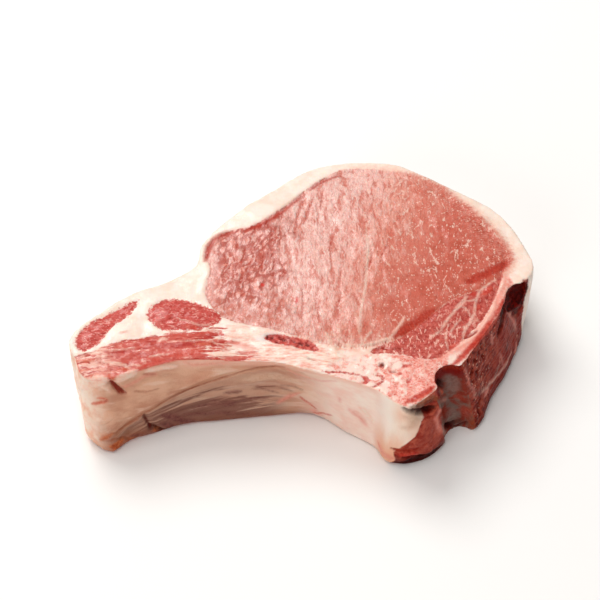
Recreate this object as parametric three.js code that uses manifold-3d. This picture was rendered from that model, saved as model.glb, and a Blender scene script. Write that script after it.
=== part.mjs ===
// A raw bone-in pork rib chop, one rib thick, lying on its lower cut.
// X runs from the belly end of the rib to the split backbone, Y from the rib cage to the back fat, Z up.
// Millimetres.
import * as THREE from "three";
import { mergeVertices } from "three/addons/utils/BufferGeometryUtils.js";
import Module from "manifold-3d";

const wasm = await Module();
wasm.setup();

// Driving dimensions
const THICKNESS = 31; // one rib's share of the loin
const TISSUE_GAP = 0.3; // clearance between neighbouring solids
const EDGE_ROUND = 1.3; // how far a cut edge falls back
const EYE_CROWN = 1.6; // how far the eye swells above the cut
const SMALL_CROWN = 0.8; // the same for a small muscle
const RIB_WIDTH = 11;
const RIB_DEPTH = 6.6;
const CANAL_RADIUS = 5.4; // the spinal canal, split down its middle

// Fineness
const RIM_STEPS = 3; // vertices from one station of the rim to the next
const MUSCLE_STEPS = 3;
const CUT_CELL = 4.2; // a cell of the upper cut's surface
const CELL_SPAN = 84; // half the width of that surface
const OVERSHOOT = 5; // how far a tool passes the face that it cuts

// The outer wall, counterclockwise: x and y at the upper cut, x and y at the foot, and the swell halfway up.
const RIM = [
  [-73.6, -23.0, -72.0, -24.0, 0.2], // belly end, outer corner
  [-71.2, -30.2, -70.2, -32.4, 0.4],
  [-68.4, -36.6, -68.6, -41.0, 0.3], // belly end, rib corner
  [-62.8, -38.2, -60.6, -46.4, 0.2],
  [-57.6, -37.3, -54.8, -41.8, 0.2],
  [-49.0, -33.8, -48.0, -39.2, 0.0],
  [-38.0, -30.6, -38.0, -35.6, -0.4],
  [-24.0, -30.2, -25.0, -33.9, -1.0],
  [-8.0, -31.6, -10.0, -32.2, -1.4],
  [3.0, -35.4, 3.4, -31.4, -1.2],
  [14.0, -38.4, 14.0, -38.6, -1.0],
  [23.0, -42.0, 22.8, -44.4, -1.2],
  [28.5, -46.4, 26.0, -49.4, -0.4], // front of the backbone
  [33.0, -48.4, 32.6, -51.0, 0.2],
  [38.6, -44.9, 41.2, -48.2, 0.4],
  [43.2, -40.4, 47.0, -42.2, 0.2],
  [49.6, -32.6, 57.0, -36.8, 0.0],
  [55.6, -23.4, 62.2, -25.0, 0.3],
  [63.2, -11.0, 68.4, -13.2, 0.4],
  [66.6, -1.6, 72.0, -4.4, 0.0],
  [72.0, 0.4, 73.6, 2.6, 0.0], // lower end of the back fat
  [75.2, 6.8, 74.4, 8.6, 0.6],
  [72.2, 16.4, 71.4, 16.8, 0.8],
  [68.8, 23.8, 68.0, 23.8, 1.0],
  [62.2, 31.6, 61.4, 31.4, 1.4],
  [50.0, 39.8, 49.2, 39.4, 1.4],
  [38.2, 47.2, 37.6, 46.6, 1.4],
  [31.6, 50.5, 31.2, 49.8, 1.3],
  [22.0, 51.7, 21.8, 50.9, 1.3],
  [11.6, 51.2, 11.6, 50.4, 1.4],
  [2.0, 47.8, 2.2, 47.0, 1.4],
  [-12.0, 36.9, -11.6, 36.2, 1.2],
  [-26.0, 24.2, -25.6, 24.0, 1.0],
  [-32.8, 15.4, -32.4, 15.4, 0.6],
  [-34.2, 7.6, -34.4, 7.0, 0.0], // the notch where the fat turns onto the belly
  [-43.5, 0.6, -43.8, 0.4, 0.6],
  [-55.0, -5.0, -55.6, -5.2, 0.8],
  [-66.0, -13.8, -67.4, -14.4, 0.6],
];

// Each tissue's outline at the upper cut and at the foot, point for point. Outlines may pass the outer wall.
const EYE = {
  upper: [
    [-29.2, 17.2], [-22.2, 21.3], [-16.4, 22.7], [-9.0, 28.1], [1.0, 38.3], [8.4, 45.0], [15.6, 47.4],
    [26.3, 46.6], [37.0, 43.4], [50.4, 33.2], [62.4, 19.2], [66.6, 9.2], [60.5, -0.2], [47.2, -7.8],
    [38.0, -16.6], [28.0, -23.8], [17.0, -25.8], [4.0, -23.6], [-9.0, -19.0], [-25.0, -13.6], [-31.0, -4.6],
    [-29.6, 6.0], [-31.6, 11.2],
  ],
  foot: [
    [-28.8, 16.0], [-22.0, 20.0], [-16.4, 21.4], [-9.0, 26.8], [1.0, 37.0], [8.4, 43.6], [15.6, 46.0],
    [26.3, 45.2], [37.0, 42.2], [50.2, 32.4], [61.6, 19.0], [66.2, 9.6], [62.0, 0.6], [50.6, -7.0],
    [41.0, -16.2], [30.0, -24.0], [17.0, -26.0], [4.0, -24.2], [-9.0, -19.6], [-24.0, -14.8], [-30.6, -5.8],
    [-29.8, 4.6], [-31.2, 10.2],
  ],
};
const MARBLED = {
  upper: [
    [64.6, 5.0], [62.4, -4.0], [58.6, -12.6], [52.6, -21.6], [46.0, -27.4], [40.0, -30.4], [30.0, -29.0],
    [21.6, -27.4], [28.0, -23.0], [38.0, -15.0], [47.2, -6.0], [58.5, 1.6],
  ],
  foot: [
    [68.4, 5.0], [66.4, -3.0], [63.0, -12.0], [57.6, -20.0], [51.4, -27.0], [43.0, -31.0], [31.0, -29.6],
    [21.6, -27.8], [30.0, -23.0], [41.0, -14.6], [50.6, -5.6], [61.0, 2.6],
  ],
};
const BACKBONE = {
  upper: [
    [8.6, -33.4], [13.4, -29.8], [21.0, -28.2], [32.0, -29.0], [42.2, -30.6], [47.4, -26.4], [52.8, -21.0],
    [57.6, -14.6], [61.0, -8.0], [63.6, -1.4], [65.4, 3.2], [68.0, 0.2], [70.0, -8.0], [64.0, -22.0],
    [57.0, -40.0], [46.0, -54.0], [26.0, -56.0], [10.0, -44.0],
  ],
  foot: [
    [8.0, -29.6], [13.4, -30.0], [21.0, -29.6], [32.0, -30.4], [43.6, -31.8], [51.8, -28.4], [58.0, -21.4],
    [62.6, -14.4], [65.4, -8.0], [67.2, -2.4], [68.4, 2.0], [71.0, -1.4], [70.4, -8.8], [65.6, -20.0],
    [64.0, -40.0], [48.0, -56.0], [26.0, -58.0], [10.0, -44.0],
  ],
};
const BELLY_STRIP = {
  upper: [
    [-71.4, -24.0], [-68.6, -18.2], [-61.8, -12.9], [-52.6, -7.4], [-54.6, -12.4], [-60.6, -18.6],
    [-64.2, -24.4], [-69.0, -27.4],
  ],
  foot: [
    [-72.6, -24.4], [-69.6, -18.6], [-62.4, -13.3], [-52.0, -7.8], [-54.2, -13.0], [-60.0, -19.4],
    [-64.0, -25.4], [-69.4, -28.4],
  ],
};
const BELLY_OVAL = {
  upper: [
    [-49.2, -13.0], [-46.4, -8.4], [-41.0, -6.8], [-33.0, -8.8], [-25.4, -13.0], [-28.0, -17.0],
    [-34.6, -18.8], [-45.4, -18.6],
  ],
  foot: [
    [-48.6, -13.6], [-45.8, -8.8], [-40.4, -6.6], [-32.4, -8.8], [-24.4, -14.0], [-27.4, -17.8],
    [-34.4, -19.8], [-45.0, -19.6],
  ],
};
const RIB_MEAT = {
  upper: [
    [-74.0, -31.0], [-66.0, -27.8], [-58.0, -24.0], [-47.0, -21.6], [-36.0, -20.2], [-28.0, -19.8],
    [-23.4, -23.4], [-17.6, -27.2], [-20.0, -33.0], [-34.0, -36.0], [-50.0, -42.0], [-66.0, -48.0],
  ],
  foot: [
    [-78.0, -32.0], [-66.0, -28.8], [-58.0, -25.2], [-46.0, -22.4], [-35.0, -21.6], [-26.0, -21.4],
    [-6.0, -25.0], [6.4, -28.4], [6.6, -36.0], [-18.0, -40.0], [-50.0, -50.0], [-66.0, -54.0],
  ],
};

// The rib's centre line, from the belly end up through the upper cut beside the backbone
const RIB_LINE = new THREE.CatmullRomCurve3(
  [
    [-64.0, -35.4, 10.6],
    [-57.0, -35.6, 14.0],
    [-48.0, -33.4, 18.2],
    [-34.0, -28.2, 23.4],
    [-18.0, -26.0, 28.0],
    [-4.0, -24.9, 31.6],
    [6.0, -27.6, 34.4],
    [14.0, -31.6, 37.4],
    [22.0, -36.0, 41.0],
  ].map((p) => new THREE.Vector3(...p)),
);
const RIB_RISE = [
  // how far the rib pushes the wall out: x of the station, millimetres
  [-66, 0.6],
  [-50, 2.6],
  [-34, 1.9],
  [-18, 0.9],
  [-4, 0],
];

const RIB_HEIGHT = RIB_LINE.getPoints(40).map((p) => [p.x, p.z]);

// A smooth step from 0 at a to 1 at b, which may be the smaller
function ramp(a, b, value) {
  return THREE.MathUtils.smoothstep((value - a) / (b - a), 0, 1);
}

// Linear interpolation in a short table of [x, value]
function lookUp(table, x) {
  const next = table.findIndex(([at]) => at > x);
  if (next === 0) return table[0][1];
  if (next < 0) return table.at(-1)[1];
  const [[x0, v0], [x1, v1]] = [table[next - 1], table[next]];
  return THREE.MathUtils.mapLinear(x, x0, x1, v0, v1);
}

// A closed smooth curve through points, as a ring of vertices with the same number between each two points
function ring(points, steps) {
  const corners = points.map(([x, y]) => new THREE.Vector3(x, y, 0));
  const curve = new THREE.CatmullRomCurve3(corners, true, "centripetal");
  const count = points.length * steps;
  return Array.from({ length: count }, (_, i) => curve.getPoint(i / count));
}

// The outward direction at each vertex of a counterclockwise ring
function outward(loop) {
  return loop.map((_, i) => {
    const before = loop.at(i - 1);
    const after = loop[(i + 1) % loop.length];
    return new THREE.Vector3(after.y - before.y, before.x - after.x, 0).normalize();
  });
}

function grown(loop, distance) {
  return outward(loop).map((n, i) => loop[i].clone().addScaledVector(n, distance));
}

// A closed solid through a stack of rings, lowest first, with flat ends
function loft(rings) {
  const count = rings[0].length;
  const positions = rings.flatMap((loop) => loop.flatMap((p) => [p.x, p.y, p.z]));
  const faces = [];
  for (let level = 0; level + 1 < rings.length; level++)
    for (let i = 0; i < count; i++) {
      const a = level * count + i;
      const b = level * count + ((i + 1) % count);
      faces.push(a, b, b + count, a, b + count, a + count);
    }
  const flat = (loop) => THREE.ShapeUtils.triangulateShape(loop.map((p) => new THREE.Vector2(p.x, p.y)), []);
  const top = (rings.length - 1) * count;
  for (const [a, b, c] of flat(rings[0])) faces.push(a, c, b);
  for (const [a, b, c] of flat(rings.at(-1))) faces.push(top + a, top + b, top + c);
  const geometry = new THREE.BufferGeometry();
  geometry.setAttribute("position", new THREE.Float32BufferAttribute(positions, 3));
  geometry.setIndex(faces);
  return geometry;
}

// A three.js geometry as a solid that can be joined and cut
function solid(geometry) {
  const bare = geometry.clone();
  bare.deleteAttribute("normal");
  bare.deleteAttribute("uv");
  const merged = mergeVertices(bare, 1e-3);
  const vertProperties = merged.attributes.position.array;
  const triVerts = new Uint32Array(merged.index.array);
  return new wasm.Manifold(new wasm.Mesh({ numProp: 3, vertProperties, triVerts }));
}

// The counterclockwise copy of an outline
function turned(points) {
  const shape = points.map(([x, y]) => new THREE.Vector2(x, y));
  return THREE.ShapeUtils.area(shape) > 0 ? points : [...points].reverse();
}

// A tissue's block, ruled from its foot outline to its upper one and past both cuts
function block({ upper, foot }, growth = 0) {
  const low = grown(ring(turned(foot), MUSCLE_STEPS), growth);
  const high = grown(ring(turned(upper), MUSCLE_STEPS), growth);
  const at = (share) => low.map((p, i) => p.clone().lerp(high[i], share).setZ(share * THICKNESS));
  const past = OVERSHOOT / THICKNESS;
  return solid(loft([at(-past), at(0.88), at(1 + past)]));
}

// How far the rib pushes the inner wall out at a point of it
function ribSwell(p, normal, z) {
  if (normal.y > -0.4 || p.x > RIB_RISE.at(-1)[0]) return 0;
  const above = (z - lookUp(RIB_HEIGHT, p.x)) / RIB_WIDTH;
  // full over the rib, with a sharp lower edge and a long upper one
  return lookUp(RIB_RISE, p.x) * ramp(-0.72, -0.3, above) * ramp(1.1, 0.2, above);
}

// The chop's outer wall, a little higher than the cut that will close it
function wall() {
  const high = ring(RIM.map(([x, y]) => [x, y]), RIM_STEPS);
  const low = ring(RIM.map(([, , x, y]) => [x, y]), RIM_STEPS);
  const swell = (i) => {
    const station = i / RIM_STEPS;
    const here = Math.floor(station);
    const next = RIM[(here + 1) % RIM.length][4];
    return THREE.MathUtils.lerp(RIM[here][4], next, station - here);
  };
  const heights = [0, 0.05, 0.14, 0.25, 0.36, 0.47, 0.58, 0.69, 0.8, 0.9, 0.96, 1 + OVERSHOOT / THICKNESS];
  const rings = heights.map((share) => {
    const even = low.map((p, i) => p.clone().lerp(high[i], Math.min(share, 1)).setZ(share * THICKNESS));
    const rounding = EDGE_ROUND * (ramp(0.07, 0, share) + 0.5 * ramp(0.94, 1.04, share));
    const normals = outward(even);
    const bow = Math.sin(Math.PI * Math.min(share, 1));
    return even.map((p, i) => {
      const out = swell(i) * bow + ribSwell(p, normals[i], p.z) - rounding;
      return p.clone().addScaledVector(normals[i], out);
    });
  });
  return solid(loft(rings));
}

// How high the upper cut stands over a place: a slack sheet with a swell over each muscle
function cutHeight(x, y) {
  const dome = (cx, cy, rx, ry, rise) => {
    const far = Math.hypot((x - cx) / rx, (y - cy) / ry);
    return rise * Math.sqrt(Math.max(0, 1 - far ** 4));
  };
  const slack = 0.35 * Math.sin(x / 13 + 0.6) * Math.cos(y / 11) + 0.2 * Math.sin(x / 5.1 + y / 6.3);
  return (
    THICKNESS - EYE_CROWN / 2 + slack +
    dome(17, 11, 50, 36, EYE_CROWN) +
    dome(-38, -13, 12, 7, SMALL_CROWN) +
    dome(-62, -19, 11, 6, SMALL_CROWN) +
    dome(-46, -27, 24, 6, SMALL_CROWN)
  );
}

// Everything under the upper cut
function underCut() {
  const cells = Math.round((2 * CELL_SPAN) / CUT_CELL);
  const box = new THREE.BoxGeometry(2 * CELL_SPAN, 2 * CELL_SPAN, 1, cells, cells, 1);
  const corner = box.attributes.position;
  for (let i = 0; i < corner.count; i++) {
    const top = corner.getZ(i) > 0;
    corner.setZ(i, top ? cutHeight(corner.getX(i), corner.getY(i)) : -OVERSHOOT);
  }
  return solid(box);
}

// The rib, a flat oval bar along its line
function ribBar(growth = 0) {
  const section = new THREE.Shape();
  section.absellipse(0, 0, RIB_DEPTH / 2 + growth, RIB_WIDTH / 2 + growth, 0, 2 * Math.PI);
  const bar = new THREE.ExtrudeGeometry(section, { steps: 22, curveSegments: 7, extrudePath: RIB_LINE });
  return solid(bar);
}

// A scaled and turned ball, for a hollow
function hollow(radii, place, turn) {
  const ball = new THREE.SphereGeometry(1, 12, 8);
  const pose = new THREE.Matrix4().compose(
    new THREE.Vector3(...place),
    new THREE.Quaternion().setFromEuler(new THREE.Euler(...turn)),
    new THREE.Vector3(...radii),
  );
  return solid(ball.applyMatrix4(pose));
}

// The split spinal canal, a round channel down through the backbone
function canal() {
  const below = new THREE.Vector3(52.0, -41.4, -OVERSHOOT);
  const above = new THREE.Vector3(45.8, -37.6, THICKNESS + OVERSHOOT);
  const section = new THREE.Shape();
  section.absarc(0, 0, CANAL_RADIUS, 0, 2 * Math.PI);
  const extrudePath = new THREE.LineCurve3(below, above);
  return solid(new THREE.ExtrudeGeometry(section, { steps: 1, curveSegments: 9, extrudePath }));
}

// The largest of a solid's separate lumps
function mainLump(shape) {
  return shape.decompose().sort((a, b) => b.volume() - a.volume())[0];
}

function tissueMesh(name, shape, color, roughness) {
  const { numProp, vertProperties, triVerts } = mainLump(shape).getMesh();
  const points = new THREE.InterleavedBuffer(vertProperties, numProp);
  const geometry = new THREE.BufferGeometry();
  geometry.setAttribute("position", new THREE.InterleavedBufferAttribute(points, 3, 0));
  geometry.setIndex(new THREE.BufferAttribute(triVerts, 1));
  geometry.computeVertexNormals();
  const mesh = new THREE.Mesh(geometry, new THREE.MeshStandardMaterial({ color, roughness, metalness: 0 }));
  mesh.name = name;
  return mesh;
}

const fatPocket = hollow([5.2, 4.0, 6.2], [71.2, -2.2, 24.2], [0.2, 0, 0.5]); // under the end of the back fat
const vertebraWaist = hollow([8.5, 2.8, 3.4], [39.6, -47.2, 24.6], [0, 0, 0.75]);
const body = wall().intersect(underCut()).subtract(canal()).subtract(fatPocket).subtract(vertebraWaist);

// Tissues, bone first: each gives way to those before it, and the fat takes what is left.
const tissues = [
  ["backbone", (growth) => block(BACKBONE, growth), 0xe6b3a4, 0.5],
  ["rib_bone", ribBar, 0xc08a7a, 0.5],
  ["eye_muscle", (growth) => block(EYE, growth), 0xd98a7c, 0.35],
  ["marbled_muscle", (growth) => block(MARBLED, growth), 0xc97468, 0.35],
  ["belly_oval_muscle", (growth) => block(BELLY_OVAL, growth), 0xc4564e, 0.35],
  ["belly_strip_muscle", (growth) => block(BELLY_STRIP, growth), 0xc8584f, 0.35],
  ["rib_meat", (growth) => block(RIB_MEAT, growth), 0xb98a78, 0.35],
];

const chop = new THREE.Group();
let remainder = body;
for (const [name, shapeOf, color, roughness] of tissues) {
  chop.add(tissueMesh(name, remainder.intersect(shapeOf(0)), color, roughness));
  remainder = remainder.subtract(shapeOf(TISSUE_GAP));
}
chop.add(tissueMesh("back_fat", remainder, 0xf6e3d4, 0.4));

// The origin: the middle of the foot
const { min, max } = body.boundingBox();
for (const mesh of chop.children) mesh.geometry.translate(-(min[0] + max[0]) / 2, -(min[1] + max[1]) / 2, 0);

export default chop;
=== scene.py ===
"""A raw, thick-cut, bone-in pork rib chop lying on its lower cut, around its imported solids.

The solids become one closed skin. Relief is carved into it by tissue, and distances to the tissues and
to the marks on it go to the materials as attributes. Lengths are millimetres in the coordinates of the
part's source.
"""
import math

import bpy
import numpy as np
from mathutils import Matrix, Vector
from mathutils.bvhtree import BVHTree


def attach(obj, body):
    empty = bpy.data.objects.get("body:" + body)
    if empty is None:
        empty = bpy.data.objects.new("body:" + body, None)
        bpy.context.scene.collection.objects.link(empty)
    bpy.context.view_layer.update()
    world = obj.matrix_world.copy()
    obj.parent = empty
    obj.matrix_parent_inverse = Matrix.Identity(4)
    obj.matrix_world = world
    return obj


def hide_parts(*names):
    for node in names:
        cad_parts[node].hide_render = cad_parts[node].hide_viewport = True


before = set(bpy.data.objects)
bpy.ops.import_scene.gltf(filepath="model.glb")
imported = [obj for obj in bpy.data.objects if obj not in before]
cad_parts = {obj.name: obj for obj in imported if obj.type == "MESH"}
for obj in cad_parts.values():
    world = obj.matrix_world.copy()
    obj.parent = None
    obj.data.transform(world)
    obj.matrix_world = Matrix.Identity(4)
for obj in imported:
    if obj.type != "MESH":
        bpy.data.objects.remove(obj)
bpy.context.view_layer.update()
MM = 0.001
ORIGIN = np.array([0.974, 1.0025, 0.0])  # the part's origin in the source's coordinates

# The skin
SKIN_CELL = 0.62
SEAM_FILL = 0.26  # how far each solid is swelled to close the seams
SKIN_LIFT = 0.04
RELAX_ROUNDS = 4
RELAX_PULLS = (0.5, -0.52)  # smooths, then takes back the shrinking
SEARCH_REACH = 60
CLEAR = 1e9

# A traced line is narrower at its ends
LINE_END, LINE_GAIN = 0.55, 0.45  # share of its width at the ends, and what the middle adds
LINE_TAPER = 0.18  # share of its length that an end takes
FAR_OUT = -3.0  # what its attribute holds away from it

# Heights between which the two cuts begin
UPPER_CUT = (27.6, 28.8)
LOWER_CUT = (1.6, 0.8)

# The camera, as the photograph sees the upper cut
ELEVATION = math.radians(52)
DISTANCE = 700
FOCAL_RATIO = 2135 / 600  # focal length over picture width
AIM = (0, 0, 15)  # this point is seen at AIM_SEEN
AIM_SEEN = (302 / 600, 312 / 600)
SENSOR = 36

# The floor
FLOOR_REACH = 2.0
FLOOR_DROP = 0.00005
LAMP_AIM = (0, 0, 0.015)
LAMP_COLOUR = (1.0, 0.97, 0.93)

# Tissues: the CAD nodes that each attribute measures
TISSUES = {
    "eye": ["eye_muscle"],
    "marbled": ["marbled_muscle"],
    "belly": ["belly_oval_muscle", "belly_strip_muscle"],
    "rib_meat": ["rib_meat"],
    "fat": ["back_fat"],
    "rib": ["rib_bone"],
    "backbone": ["backbone"],
}

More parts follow.
